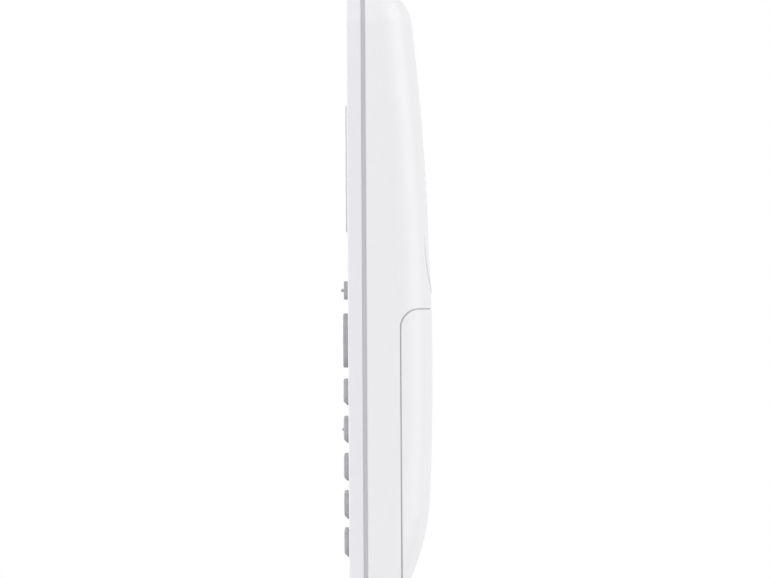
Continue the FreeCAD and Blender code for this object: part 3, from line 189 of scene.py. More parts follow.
HEAD_FACE = 0.92
HEAD_CELLS = 5

# Photograph: a level side view from the +X side through a long lens
PHOTO_WIDTH_PX = 770
PX_PER_MM = 3.95
VIEW_ACROSS = FACE + 9.315 * MM
VIEW_UP = 80.8 * MM
CAMERA_DISTANCE = 1.7
CAMERA_ROLL = math.radians(-0.33)
SENSOR = 36.0
NEAREST, FARTHEST = 0.01, 20

# The floor lies below the reach of the opened battery cover
FLOOR_LEVEL = -80 * MM
FLOOR_HALF = 0.2
FLOOR_TONE = 0.8
FLOOR_FADE = 0.2
FLOOR_LIFT_NEAR = 0.08
FLOOR_LIFT_FAR = 0.64

# Light: even all round, and lamps with their place, width and watts
WORLD_LIGHT = 0.73
LAMP_TARGET = (0, 0, 0.07)
LAMPS = {
    "key_lamp": ((1.2, -0.5, 0.6), 0.9, 7.7),
    "back_lamp": ((0.15, 1.2, 0.5), 1.4, 9.2),
    "front_lamp": ((-0.5, -1.2, 0.5), 1.2, 9.2),
}


# Camera, lights and floor

def look_at(obj, place, target):
    """Puts a camera or lamp at a place and points it at a target."""
    obj.location = place
    obj.rotation_mode = "QUATERNION"
    obj.rotation_quaternion = (Vector(target) - Vector(place)).to_track_quat("-Z", "Y")


def add_camera():
    """Camera that takes in as much as the photograph, at the same scale and tilt."""
    lens = bpy.data.cameras.new("camera")
    camera = bpy.data.objects.new("camera", lens)
    bpy.context.scene.collection.objects.link(camera)
    look_at(camera, (CAMERA_DISTANCE, VIEW_ACROSS, VIEW_UP), (0, VIEW_ACROSS, VIEW_UP))
    camera.rotation_quaternion @= Matrix.Rotation(CAMERA_ROLL, 3, "Z").to_quaternion()
    frame_width = PHOTO_WIDTH_PX / PX_PER_MM * MM
    lens.sensor_width = SENSOR
    lens.lens = SENSOR * CAMERA_DISTANCE / frame_width
    lens.clip_start, lens.clip_end = NEAREST, FARTHEST
    bpy.context.scene.camera = camera


def add_lamps():
    """Three soft square lamps round the handset."""
    for name, (place, width, watts) in LAMPS.items():
        lamp = bpy.data.lights.new(name, "AREA")
        lamp.shape = "SQUARE"
        lamp.size = width
        lamp.energy = watts
        obj = bpy.data.objects.new(name, lamp)
        bpy.context.scene.collection.objects.link(obj)
        look_at(obj, place, LAMP_TARGET)


def seen_directly(tree):
    """1 for rays that come from the camera, a mirror surface or through glass."""
    rays = tree.nodes.new("ShaderNodeLightPath")
    first = tree.nodes.new("ShaderNodeMath")
    first.operation = "MAXIMUM"
    second = tree.nodes.new("ShaderNodeMath")
    second.operation = "MAXIMUM"
    tree.links.new(rays.outputs["Is Camera Ray"], first.inputs[0])
    tree.links.new(rays.outputs["Is Glossy Ray"], first.inputs[1])
    tree.links.new(first.outputs[0], second.inputs[0])
    tree.links.new(rays.outputs["Is Transmission Ray"], second.inputs[1])
    return second.outputs[0]


def add_world():
    """Even pale light all round; the background itself is white."""
    world = bpy.data.worlds.new("studio")
    bpy.context.scene.world = world
    world.use_nodes = True
    tree = world.node_tree
    tree.nodes.clear()
    light = tree.nodes.new("ShaderNodeBackground")
    light.inputs["Strength"].default_value = WORLD_LIGHT
    backdrop = tree.nodes.new("ShaderNodeBackground")
    backdrop.inputs["Color"].default_value = (1, 1, 1, 1)
    mix = tree.nodes.new("ShaderNodeMixShader")
    out = tree.nodes.new("ShaderNodeOutputWorld")
    tree.links.new(seen_directly(tree), mix.inputs[0])
    tree.links.new(light.outputs[0], mix.inputs[1])
    tree.links.new(backdrop.outputs[0], mix.inputs[2])
    tree.links.new(mix.outputs[0], out.inputs["Surface"])


def floor_paper():
    """Pale paper, lifted to white for direct rays, the more so the farther from the object."""
    paint = bpy.data.materials.new("floor_paper")
    paint.use_nodes = True
    tree = paint.node_tree
    tree.nodes.clear()
    paper = tree.nodes.new("ShaderNodeBsdfDiffuse")
    paper.inputs["Color"].default_value = (FLOOR_TONE, FLOOR_TONE, FLOOR_TONE, 1)
    where = tree.nodes.new("ShaderNodeTexCoord")
    near = tree.nodes.new("ShaderNodeMapping")
    near.inputs["Location"].default_value = (0, 0, -FLOOR_LEVEL / FLOOR_FADE)
    near.inputs["Scale"].default_value = (1 / FLOOR_FADE,) * 3
    fade = tree.nodes.new("ShaderNodeTexGradient")
    fade.gradient_type = "SPHERICAL"
    lift = tree.nodes.new("ShaderNodeMapRange")
    lift.inputs["To Min"].default_value = FLOOR_LIFT_FAR
    lift.inputs["To Max"].default_value = FLOOR_LIFT_NEAR
    white = tree.nodes.new("ShaderNodeEmission")
    seen = tree.nodes.new("ShaderNodeAddShader")
    mix = tree.nodes.new("ShaderNodeMixShader")
    out = tree.nodes.new("ShaderNodeOutputMaterial")
    tree.links.new(where.outputs["Object"], near.inputs["Vector"])
    tree.links.new(near.outputs[0], fade.inputs[0])
    tree.links.new(fade.outputs["Fac"], lift.inputs["Value"])
    tree.links.new(lift.outputs["Result"], white.inputs["Strength"])
    tree.links.new(paper.outputs[0], seen.inputs[0])
    tree.links.new(white.outputs[0], seen.inputs[1])
    tree.links.new(seen_directly(tree), mix.inputs[0])
    tree.links.new(paper.outputs[0], mix.inputs[1])
    tree.links.new(seen.outputs[0], mix.inputs[2])
    tree.links.new(mix.outputs[0], out.inputs["Surface"])
    return paint


def add_floor():
    """Pale floor that looks white far off and keeps the object's soft shadow."""
    bm = bmesh.new()
    bmesh.ops.create_grid(bm, x_segments=1, y_segments=1, size=FLOOR_HALF)
    bmesh.ops.translate(bm, vec=(0, 0, FLOOR_LEVEL), verts=bm.verts)
    mesh = bpy.data.meshes.new("floor")
    bm.to_mesh(mesh)
    bm.free()
    mesh.materials.append(floor_paper())
    floor = bpy.data.objects.new("floor", mesh)
    bpy.context.scene.collection.objects.link(floor)


# Finishes

NOISE_DETAIL = 3.0
NOISE_LOW, NOISE_HIGH = 0.3, 0.7
MOTTLE_ROUGHNESS, GRAIN_ROUGHNESS = 0.5, 0.6
GLOSS_SPREAD = 0.05
GRAIN_STRENGTH = 0.35
PANE_TINT = (0.97, 0.98, 0.98, 1)
PANE_ROUGHNESS = 0.02
ACRYLIC_IOR = 1.49


def noise(tree, size, roughness):
    """Noise whose lumps are about `size` metres across, fixed to the object."""
    place = tree.nodes.new("ShaderNodeTexCoord")
    lumps = tree.nodes.new("ShaderNodeTexNoise")
    lumps.inputs["Scale"].default_value = 1 / size
    lumps.inputs["Detail"].default_value = NOISE_DETAIL
    lumps.inputs["Roughness"].default_value = roughness
    tree.links.new(place.outputs["Object"], lumps.inputs["Vector"])
    return lumps.outputs["Fac"]


def spread(tree, value, low, high):
    """Carries the noise's usual values over to the range from low to high."""
    remap = tree.nodes.new("ShaderNodeMapRange")
    remap.inputs["From Min"].default_value = NOISE_LOW
    remap.inputs["From Max"].default_value = NOISE_HIGH
    remap.inputs["To Min"].default_value = low
    remap.inputs["To Max"].default_value = high
    tree.links.new(value, remap.inputs["Value"])
    return remap.outputs["Result"]


def blend(tree, factor, first, second):
    """Colour between two others."""
    mix = tree.nodes.new("ShaderNodeMix")
    mix.data_type = "RGBA"
    tree.links.new(factor, mix.inputs["Factor"])
    mix.inputs["A"].default_value = (*first, 1)
    mix.inputs["B"].default_value = (*second, 1)
    return mix.outputs["Result"]


def shade(colour, share):
    """Colour made darker or lighter by a share."""
    return tuple(min(1.0, channel * share) for channel in colour)


def moulded(name, colour, roughness, mottle=0.02, mottle_size=6 * MM, grain=0.012 * MM,
            grain_size=0.22 * MM, metallic=0.0):
    """Moulded or pressed surface: slow tone changes, uneven gloss and a fine grain."""
    finish = bpy.data.materials.new(name)
    finish.use_nodes = True
    tree = finish.node_tree
    surface = tree.nodes["Principled BSDF"]
    surface.inputs["Metallic"].default_value = metallic
    slow = noise(tree, mottle_size, MOTTLE_ROUGHNESS)
    tone = blend(tree, slow, shade(colour, 1 - mottle), shade(colour, 1 + mottle))
    tree.links.new(tone, surface.inputs["Base Color"])
    fine = noise(tree, grain_size, GRAIN_ROUGHNESS)
    gloss = spread(tree, fine, roughness - GLOSS_SPREAD, roughness + GLOSS_SPREAD)
    tree.links.new(gloss, surface.inputs["Roughness"])
    if grain:
        bump = tree.nodes.new("ShaderNodeBump")
        bump.inputs["Strength"].default_value = GRAIN_STRENGTH
        bump.inputs["Distance"].default_value = grain
        tree.links.new(fine, bump.inputs["Height"])
        tree.links.new(bump.outputs["Normal"], surface.inputs["Normal"])
    return finish


def clear_pane(name):
    """Clear moulded plastic that lets the lamps reach what lies behind it."""
    finish = bpy.data.materials.new(name)
    finish.use_nodes = True
    tree = finish.node_tree
    surface = tree.nodes["Principled BSDF"]
    surface.inputs["Base Color"].default_value = PANE_TINT
    surface.inputs["Roughness"].default_value = PANE_ROUGHNESS
    surface.inputs["IOR"].default_value = ACRYLIC_IOR
    surface.inputs["Transmission Weight"].default_value = 1.0
    rays = tree.nodes.new("ShaderNodeLightPath")
    through = tree.nodes.new("ShaderNodeBsdfTransparent")
    mix = tree.nodes.new("ShaderNodeMixShader")
    tree.links.new(rays.outputs["Is Shadow Ray"], mix.inputs[0])
    tree.links.new(surface.outputs[0], mix.inputs[1])
    tree.links.new(through.outputs[0], mix.inputs[2])
    tree.links.new(mix.outputs[0], tree.nodes["Material Output"].inputs["Surface"])
    return finish


# Shells, seams and keys
white_shell = moulded("white_shell", (0.785, 0.777, 0.815), 0.42)
white_shell_rear = moulded("white_shell_rear", (0.807, 0.804, 0.821), 0.45)
# Painted shade: a pale grey, darker than the rear shell, so that the grip rim reads as a shaded
# line
grip_rim_shade = moulded("grip_rim_shade", (0.715, 0.713, 0.73), 0.5)
# Painted shade: grey that stands for the shadow down in the groove between the shells
groove_shade_grey = moulded("groove_shade_grey", (0.51, 0.503, 0.53), 0.6, mottle=0.03, mottle_size=4 * MM)
# Painted shade: grey that stands for the shadow in the gap round the battery cover
seam_shade_grey = moulded("seam_shade_grey", (0.56, 0.56, 0.57), 0.6, mottle=0.03, mottle_size=4 * MM)
key_grey = moulded("key_grey", (0.36, 0.365, 0.37), 0.5, mottle=0.03, mottle_size=3 * MM,
                   grain=0.008 * MM)
legend_white = moulded("legend_white", (0.82, 0.82, 0.82), 0.5, grain=0)
legend_green = moulded("legend_green", (0.03, 0.36, 0.10), 0.5, grain=0)
legend_red = moulded("legend_red", (0.55, 0.03, 0.03), 0.5, grain=0)

# Window and display
window_clear = clear_pane("window_clear")
mask_grey = moulded("mask_grey", (0.30, 0.305, 0.31), 0.35, mottle=0.01, grain=0)
display_glass = moulded("display_glass", (0.42, 0.47, 0.36), 0.25, mottle=0.01, grain=0)
display_ink = moulded("display_ink", (0.035, 0.045, 0.035), 0.35, mottle=0.1, grain=0)
cut_acrylic = moulded("cut_acrylic", (0.60, 0.605, 0.61), 0.5, mottle=0.02, grain=0.02 * MM)

# Inner parts
dark_plastic = moulded("dark_plastic", (0.05, 0.05, 0.055), 0.5)
silicone = moulded("silicone", (0.32, 0.33, 0.34), 0.62, mottle=0.05)
black_foam = moulded("black_foam", (0.03, 0.03, 0.03), 0.95, grain=0.08 * MM,
                     grain_size=0.35 * MM)
tinned_steel = moulded("tinned_steel", (0.62, 0.62, 0.60), 0.33, metallic=1.0,
                       grain=0.006 * MM)
contact_metal = moulded("contact_metal", (0.72, 0.66, 0.50), 0.28, metallic=1.0,
                        grain=0.004 * MM)
screw_steel = moulded("screw_steel", (0.42, 0.42, 0.43), 0.35, metallic=1.0,
                      grain=0.006 * MM)
dome_film = moulded("dome_film", (0.55, 0.57, 0.58), 0.3, grain=0.004 * MM)
board = moulded("board", (0.02, 0.16, 0.06), 0.35, mottle=0.25, mottle_size=2.5 * MM)
receiver_black = moulded("receiver", (0.06, 0.06, 0.065), 0.4)
mesh_black = moulded("mesh", (0.04, 0.04, 0.04), 0.8, grain=0.05 * MM, grain_size=0.3 * MM)
cell_wrap = moulded("cell_wrap", (0.10, 0.30, 0.14), 0.3, grain=0)
cell_ink = moulded("cell_ink", (0.86, 0.87, 0.85), 0.3, grain=0)


# Making pieces

BODY_OF = {node: obj["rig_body"] for node, obj in frame["nodes"].items()}


def piece(name, bm, finish, body, stands_for=()):
    """Turns a bmesh into a named piece that rides on a body and may stand for solids."""
    mesh = bpy.data.meshes.new(name)
    bm.to_mesh(mesh)
    bm.free()
    mesh.materials.append(finish)
    for polygon in mesh.polygons:
        polygon.use_smooth = True
    mesh.set_sharp_from_angle(angle=SMOOTH_BELOW)
    obj = bpy.data.objects.new(name, mesh)
    bpy.context.scene.collection.objects.link(obj)
    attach(obj, body)
    if stands_for:
        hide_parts(*stands_for)
    return obj


def everything(bm):
    return bm.verts[:] + bm.edges[:] + bm.faces[:]


def verts_of(geom):
    return [item for item in geom if isinstance(item, bmesh.types.BMVert)]


def move(bm, verts, across=0.0, back=0.0, up=0.0):
    bmesh.ops.translate(bm, vec=(across, back, up), verts=verts)


def turn(bm, verts, angle, axis):
    bmesh.ops.rotate(bm, verts=verts, matrix=Matrix.Rotation(angle, 3, axis))


def outwards(bm):
    """Turns all faces of closed shapes outwards."""
    bmesh.ops.recalc_face_normals(bm, faces=bm.faces[:])


def rounded_face(bm, width, height, corner, steps=CORNER_STEPS):
    """Face with round corners, seen from the front, about the origin."""
    unit_square = bmesh.ops.create_grid(bm, x_segments=1, y_segments=1, size=0.5)
    verts = unit_square["verts"]
    bmesh.ops.scale(bm, vec=(width, height, 1), verts=verts)
    turn(bm, verts, math.pi / 2, "X")
    made = bmesh.ops.bevel(bm, geom=verts, offset=corner, segments=steps, profile=0.5,
                           affect="VERTICES", material=-1)
    return made["verts"][0].link_faces[0]


def thicken(bm, faces, depth):
    """Draws flat faces backwards into closed slabs."""
    made = bmesh.ops.extrude_face_region(bm, geom=faces)
    move(bm, verts_of(made["geom"]), back=depth)
    outwards(bm)


def bevelled(bm, edges, radius, steps=EDGE_STEPS):
    bmesh.ops.bevel(bm, geom=edges, offset=radius, segments=steps, profile=0.5,
                    affect="EDGES", material=-1, clamp_overlap=True)


def cut(bm, place, way, drop=False):
    """Cuts along a plane, and may drop what lies beyond it, the way that the plane faces."""
    return bmesh.ops.bisect_plane(bm, geom=everything(bm), dist=CUT_REACH, plane_co=place,
                                  plane_no=way, clear_outer=drop)


def turned(bm, section, axis):
    """Turns a section of radius and place-along pairs about the Y or Z axis."""
    along = Vector((0, 1, 0)) if axis == "Y" else Vector((0, 0, 1))
    verts = [bm.verts.new(Vector((radius, 0, 0)) + along * place) for radius, place in section]
    edges = [bm.edges.new(pair) for pair in zip(verts, verts[1:])]
    bmesh.ops.spin(bm, geom=verts + edges, cent=(0, 0, 0), axis=along, dvec=(0, 0, 0),
                   angle=2 * math.pi, steps=TURN_STEPS, use_merge=True, use_duplicate=False)
    bmesh.ops.remove_doubles(bm, verts=bm.verts[:], dist=WELD)
    outwards(bm)


def copy_of(node, keep=None):
    """Merged copy of a solid's mesh, or of those of its faces that pass a test."""
    bm = bmesh.new()
    bm.from_mesh(frame["nodes"][node].data)
    bmesh.ops.remove_doubles(bm, verts=bm.verts[:], dist=WELD)
    if keep:
        others = [face for face in bm.faces if not keep(face)]
        bmesh.ops.delete(bm, geom=others, context="FACES")
    return bm


def lies_at(edge, y):
    """True for an edge whose two ends lie in the plane of one depth."""
    return all(abs(vert.co.y - y) < SLIP / 2 for vert in edge.verts)


def softened(node, finish, chosen, radius):
    """Stands for a solid: its flat faces are cleaned and the chosen sharp edges rounded."""
    bm = copy_of(node)
    bmesh.ops.dissolve_limit(bm, angle_limit=FLAT, verts=bm.verts[:], edges=bm.edges[:])
    bevelled(bm, [edge for edge in bm.edges if edge.is_manifold
                  and edge.calc_face_angle() > SHARP and chosen(edge)],
             radius, SMALL_EDGE_STEPS)
    made = piece(node + "_moulding", bm, finish, BODY_OF[node], [node])
    even = made.modifiers.new("even_normals", "WEIGHTED_NORMAL")
    even.keep_sharp = True
    even.weight = NORMAL_WEIGHT


# Shells

def add_front_shell():
    """Front shell with its openings' edges broken as a mould leaves them."""
    softened("front_shell", white_shell, lambda edge: lies_at(edge, FACE),
             OPENING_ROUNDING)


def add_groove_seal():
    """Grey band of painted shade that fills most of the groove between the two shells."""
    front, back = FACE + FRONT_DEPTH, FACE + FRONT_DEPTH + GROOVE_WIDTH
    middle_up = sum(corner.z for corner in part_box("rear_shell")) / 2

    def on_tongue(face):
        """True for the outer faces of the rear shell's tongue, the floor of the groove."""
        place = face.calc_center_median()
        facing = face.normal.x * place.x + face.normal.z * (place.z - middle_up)
        behind = max(vert.co.y for vert in face.verts)
        return facing > 0 and abs(face.normal.y) < UPRIGHT_LEAN and behind < back + SLIP / 2

    bm = copy_of("rear_shell", on_tongue)
    cut(bm, (0, front + SLIP, 0), (0, -1, 0), drop=True)
    bmesh.ops.solidify(bm, geom=bm.faces[:], thickness=BAND_RECESS - GROOVE_DEPTH)
    outwards(bm)
    piece("groove_shade_band", bm, groove_shade_grey, "handset")


def add_seam_lip():
    """Lip in the gap round the battery cover, a little below the skin, grey with painted shade;
    it stays on the shell.
    """
    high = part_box("battery_cover")[1]
    corner_back = FACE + SEAM_DEPTH + SEAM_CORNER
    corner_up = high.z - TONGUE_REACH - SEAM_CORNER

    def outside_seam(place):
        """How far a point lies outside the cover's seat, seen from the side."""
        back, up = corner_back - place.y, place.z - corner_up
        reach = back if up < 0 else up if back < 0 else math.hypot(back, up)
        return reach - SEAM_CORNER

    def on_seam(face):
        """True for the cover's own edge faces, which stand a gap inside its seat."""
        return all(abs(outside_seam(vert.co) + COVER_GAP) < SLIP for vert in face.verts)

    bm = copy_of("battery_cover", on_seam)
    bmesh.ops.remove_doubles(bm, verts=bm.verts[:], dist=SLIVER)
    bmesh.ops.dissolve_degenerate(bm, edges=bm.edges[:], dist=SLIVER)
    bmesh.ops.scale(bm, vec=(1 - SEAM_RECESS / high.x, 1, 1), verts=bm.verts[:])
    bmesh.ops.scale(bm, vec=(1, 1 - SEAM_RECESS / (high.y - corner_back), 1),
                    space=Matrix.Translation((0, -corner_back, 0)),
                    verts=[vert for vert in bm.verts if vert.co.y > corner_back])
    bmesh.ops.solidify(bm, geom=bm.faces[:], thickness=2 * SLIP - COVER_GAP)
    outwards(bm)
    piece("cover_seam_lip", bm, seam_shade_grey, "handset")


# Flat shapes for prints, drawn about the origin and seen from the front

def outline_frame(bm, outer, inner):
    """Flat frame between two rounded outlines of width, height and corner."""
    faces = [rounded_face(bm, *size) for size in (outer, inner)]
    rims = [edge for face in faces for edge in face.edges]
    bmesh.ops.delete(bm, geom=faces, context="FACES_ONLY")
    return bmesh.ops.bridge_loops(bm, edges=rims)["faces"]


def bar(bm, width, height, across=0.0, up=0.0, lean=0.0, corner=BAR_CORNER):
    """Bar with round corners, leaned clockwise."""
    verts = rounded_face(bm, width, height, corner, BAR_STEPS).verts[:]
    turn(bm, verts, lean, "Y")
    move(bm, verts, across=across, up=up)


def band(bm, radius, width, angle, middle=0.0, across=0.0, up=0.0, steps=BAND_STEPS):
    """Part of a flat ring; its middle is measured clockwise from the top, seen from the front."""
    verts = [bm.verts.new((0, 0, radius + side * width / 2)) for side in (-1, 1)]
    edge = bm.edges.new(verts)
    turn(bm, verts, middle - angle / 2, "Y")
    move(bm, verts, across=across, up=up)
    bmesh.ops.spin(bm, geom=verts + [edge], cent=(across, 0, up), axis=(0, 1, 0),
                   dvec=(0, 0, 0), angle=angle, steps=steps, use_merge=False,
                   use_duplicate=False)


def arrow(bm, size, lean, across=0.0, up=0.0):
    """Triangle that points up, leaned clockwise."""
    verts = bmesh.ops.create_circle(bm, cap_ends=True, segments=3, radius=size)["verts"]
    turn(bm, verts, math.pi / 2, "X")
    turn(bm, verts, lean, "Y")
    move(bm, verts, across=across, up=up)


def figures(bm, text, height):
    """Figures of the built-in font, laid flat about the origin."""
    curve = bpy.data.curves.new("figures", "FONT")
    curve.body = text
    curve.size = height
    curve.resolution_u = FIGURE_STEPS
    holder = bpy.data.objects.new("figures", curve)
    bpy.context.scene.collection.objects.link(holder)
    bpy.context.view_layer.update()
    mesh = bpy.data.meshes.new_from_object(holder)
    bpy.data.objects.remove(holder)
    bm.from_mesh(mesh)
    bpy.data.meshes.remove(mesh)
    turn(bm, bm.verts[:], math.pi / 2, "X")
    low = Vector(map(min, *[vert.co for vert in bm.verts]))
    high = Vector(map(max, *[vert.co for vert in bm.verts]))
    move(bm, bm.verts[:], across=-(low.x + high.x) / 2, up=-(low.z + high.z) / 2)


def sag(verts, width, crown):
    """Lowers points of a front by as much as a crowned key of that width falls off there."""
    for vert in verts:
        vert.co.y += crown * (2 * vert.co.x / width) ** 2


def printed(name, bm, finish, body, place, across=0.0, up=0.0, crown=None, on_back=False,
            rise=PRINT):
    """Makes flat shapes a thin skin on a front or a back; crown is a key's width and crown."""
    thicken(bm, bm.faces[:], 2 * rise)
    move(bm, bm.verts[:], across, -rise, up)
    if crown:
        sag(bm.verts, *crown)
    if on_back:
        turn(bm, bm.verts[:], math.pi, "Z")
    move(bm, bm.verts[:], *place)
    piece(name, bm, finish, body)


# Display

def add_window():
    """Clear pane with a ground edge, and the grey print behind it that frames the display."""
    low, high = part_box("display_window")
    middle = (low + high) / 2
    width, height, depth = high.x - low.x, high.z - low.z, high.y - low.y - 2 * PRINT

    def inset(by):
        """The window's outline, set in."""
        return width - 2 * by, height - 2 * by, WINDOW_CORNER - by

    bm = bmesh.new()
    thicken(bm, [rounded_face(bm, *inset(GROUND_EDGE))], depth)
    move(bm, bm.verts[:], middle.x, low.y, middle.z)
    piece("window_pane", bm, window_clear, "handset", ["display_window"])

    bm = bmesh.new()
    hole = GROUND_EDGE - SLIP / 4
    thicken(bm, outline_frame(bm, inset(0), inset(hole)), depth)

    def outer(vert):
        """True for a point of the frame's outer outline."""
        across, up = abs(vert.co.x) - width / 2, abs(vert.co.z) - height / 2
        from_corner = math.hypot(across + WINDOW_CORNER, up + WINDOW_CORNER)
        return max(across, up, from_corner - WINDOW_CORNER) > -hole / 2

    bevelled(bm, [edge for edge in bm.edges if lies_at(edge, 0)
                  and edge.calc_face_angle(0) > SHARP and any(map(outer, edge.verts))],
             WINDOW_ROUNDING)
    move(bm, bm.verts[:], middle.x, low.y, middle.z)
    piece("window_edge", bm, cut_acrylic, "handset")

    panel_low, panel_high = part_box("display_panel")
    view = panel_high - panel_low
    bm = bmesh.new()
    opening = (view.x - VIEW_BORDER, view.z - VIEW_BORDER, VIEW_CORNER)
    thicken(bm, outline_frame(bm, inset(MASK_MARGIN), opening), PRINT)
    move(bm, bm.verts[:], middle.x, low.y + depth + PRINT / 2, middle.z)
    piece("window_print", bm, mask_grey, "handset")


def add_display_signs():
    """Clock, signal bars and cell sign on the display."""
    low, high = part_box("display_panel")
    place = ((low.x + high.x) / 2, low.y, (low.z + high.z) / 2)
    bm = bmesh.new()
    figures(bm, "12:00", CLOCK_HEIGHT)
    printed("display_clock", bm, display_ink, "handset", place, up=CLOCK_UP)
    bm = bmesh.new()
    for step in range(SIGNAL_BARS):
        tall = SIGNAL_LOWEST + SIGNAL_STEP * step
        bar(bm, width=0.8 * MM, height=tall, across=SIGNAL_PITCH * step, up=tall / 2,
            corner=0.1 * MM)
    printed("display_signal", bm, display_ink, "handset", place, SIGNAL_ACROSS, SIGNAL_UP)
    bm = bmesh.new()
    outline_frame(bm, CHARGE_OUTER, CHARGE_INNER)
    for step in (-1, 0, 1):
        bar(bm, width=0.9 * MM, height=1.3 * MM, across=CHARGE_PITCH * step, corner=0.08 * MM)
    bar(bm, width=0.5 * MM, height=1.1 * MM, across=2.65 * MM, corner=0.1 * MM)
    printed("display_charge", bm, display_ink, "handset", place, CHARGE_ACROSS, CHARGE_UP)


# Keys

def key_parts(node, nub=0.0):
    """Centre, cap size and depths of a key, from its solid's box."""
    low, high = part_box(node)
    middle = (low + high) / 2
    return middle, high.x - low.x - 2 * FLANGE, high.z - low.z - 2 * FLANGE, low.y + nub, high.y


def crowned(bm, width, crown):
    """Bends the front over the upright middle line; the sides lie lower by the crown."""
    for step in range(1 - CROWN_CUTS, CROWN_CUTS):
        cut(bm, (step * width / (2 * CROWN_CUTS), 0, 0), (1, 0, 0))
    sag([vert for vert in bm.verts if vert.co.y < CUT_REACH], width, crown)


def add_nub(bm, nub):
    """Guide nub that stands out of a cap's front by as much as asked."""
    dome = bmesh.ops.create_uvsphere(bm, u_segments=NUB_STEPS_ROUND, v_segments=NUB_STEPS_UP,
                                     radius=NUB_RADIUS)["verts"]
    turn(bm, dome, math.pi / 2, "X")
    move(bm, [vert for vert in dome if vert.co.y > SLIP], back=nub)
    move(bm, dome, back=NUB_RADIUS - nub)


def key_cap(node, corner, crown, bevel=0.0, nub=0.0):
    """Crowned key cap with round edges, the small keys' sloped lower end, nub and flange."""
    middle, width, height, front, back = key_parts(node, nub)
    rear = back - front - FLANGE
    bm = bmesh.new()
    thicken(bm, [rounded_face(bm, width, height, corner)], rear)
    crowned(bm, width, crown)
    if bevel:
        made = cut(bm, (0, crown / 2, -height / 2 + bevel), (0, -1, -1), drop=True)
        bmesh.ops.holes_fill(bm, edges=[item for item in made["geom_cut"]
                                        if isinstance(item, bmesh.types.BMEdge)])
        outwards(bm)
    bevelled(bm, [edge for edge in bm.edges if edge.calc_face_angle(0) > SHARP
                  and min(vert.co.y for vert in edge.verts) < rear - SLIP], CAP_ROUNDING)
    foot = rounded_face(bm, width + 2 * FLANGE, height + 2 * FLANGE, corner + FLANGE,
                        FLANGE_STEPS)
    flange = foot.verts[:]
    made = bmesh.ops.extrude_face_region(bm, geom=[foot])
    move(bm, verts_of(made["geom"]), back=FLANGE)
    move(bm, flange + verts_of(made["geom"]), back=rear)
    if nub:
        add_nub(bm, nub)
    outwards(bm)
    move(bm, bm.verts[:], middle.x, front, middle.z)
    piece(node + "_cap", bm, key_grey, BODY_OF[node], [node])


def on_key(name, bm, node, finish=legend_white, across=0.0, up=0.0, crown=0.0, nub=0.0):
    """Prints a sign on a key's front."""
    middle, width, _, front, _ = key_parts(node, nub)
    printed(name, bm, finish, BODY_OF[node], (middle.x, front, middle.z), across, up,
            (width, crown) if crown else None)


def speaker_sign(bm):
    """Loudspeaker with two sound waves."""
    bar(bm, width=0.9 * MM, height=1.1 * MM, across=-1.5 * MM)
    arrow(bm, size=1.25 * MM, lean=-math.pi / 2, across=-0.75 * MM)
    for radius in (1.3 * MM, 2.1 * MM):
        band(bm, radius, width=0.32 * MM, angle=math.pi / 2, middle=math.pi / 2,
             across=-0.6 * MM)


def list_sign(bm):
    """Three lines."""
    for row in (-1, 0, 1):
        bar(bm, width=3.2 * MM, height=0.4 * MM, up=0.9 * row * MM)


def mute_sign(bm):
    """Microphone, crossed out."""
    bar(bm, width=1.1 * MM, height=1.9 * MM, up=0.55 * MM, corner=0.5 * MM)
    band(bm, radius=1.1 * MM, width=0.3 * MM, angle=math.pi, middle=math.pi, up=0.4 * MM)
    bar(bm, width=0.3 * MM, height=0.8 * MM, up=-1.0 * MM, corner=0.1 * MM)
    bar(bm, width=0.4 * MM, height=4.2 * MM, lean=math.pi / 4)


def handset_sign(bm, lean):
    """Receiver, leaned clockwise; its two ends lie a little in front of its grip."""
    band(bm, radius=1.7 * MM, width=0.6 * MM, angle=math.radians(120), up=-0.9 * MM)
    grip = set(bm.verts)
    for side in (-1, 1):
        bar(bm, width=0.8 * MM, height=1.15 * MM, across=1.42 * side * MM, up=-0.35 * MM,
            lean=side * math.radians(40), corner=0.2 * MM)
    move(bm, [vert for vert in bm.verts if vert not in grip], back=-OVERPRINT)
    turn(bm, bm.verts[:], lean, "Y")
    bmesh.ops.scale(bm, vec=(RECEIVER_SIZE, 1, RECEIVER_SIZE), verts=bm.verts[:])


def add_small_keys():
    """Digit, star, hash, function and soft keys with their signs."""
    digits = {"key_star": "*", "key_hash": "#", **{"key_%d" % n: str(n) for n in range(10)}}
    for node, text in digits.items():
        nub = KEY_NUB if node == "key_5" else 0.0
        key_cap(node, KEY_CORNER, KEY_CROWN, KEY_BEVEL, nub)
        bm = bmesh.new()
        figures(bm, text, STAR_HEIGHT if text == "*" else FIGURE_HEIGHT)
        on_key("legend_" + node, bm, node, across=BESIDE_NUB if nub else 0.0, up=LEGEND_UP,
               crown=KEY_CROWN, nub=nub)
    for side in ("left", "middle", "right"):
        key_cap("function_key_" + side, KEY_CORNER, KEY_CROWN, KEY_BEVEL)
        nub = SOFT_NUB if side == "middle" else 0.0
        key_cap("soft_key_" + side, SOFT_KEY_CORNER, SOFT_KEY_CROWN, nub=nub)
    for side in ("left", "right"):
        bm = bmesh.new()
        bar(bm, width=3.4 * MM, height=0.45 * MM)
        on_key("legend_soft_key_" + side, bm, "soft_key_" + side, crown=SOFT_KEY_CROWN)
    signs = {"speaker": ("left", speaker_sign), "list": ("middle", list_sign),
             "mute": ("right", mute_sign)}
    for name, (side, draw) in signs.items():
        bm = bmesh.new()
        draw(bm)
        on_key("legend_" + name, bm, "function_key_" + side, up=LEGEND_UP, crown=KEY_CROWN)


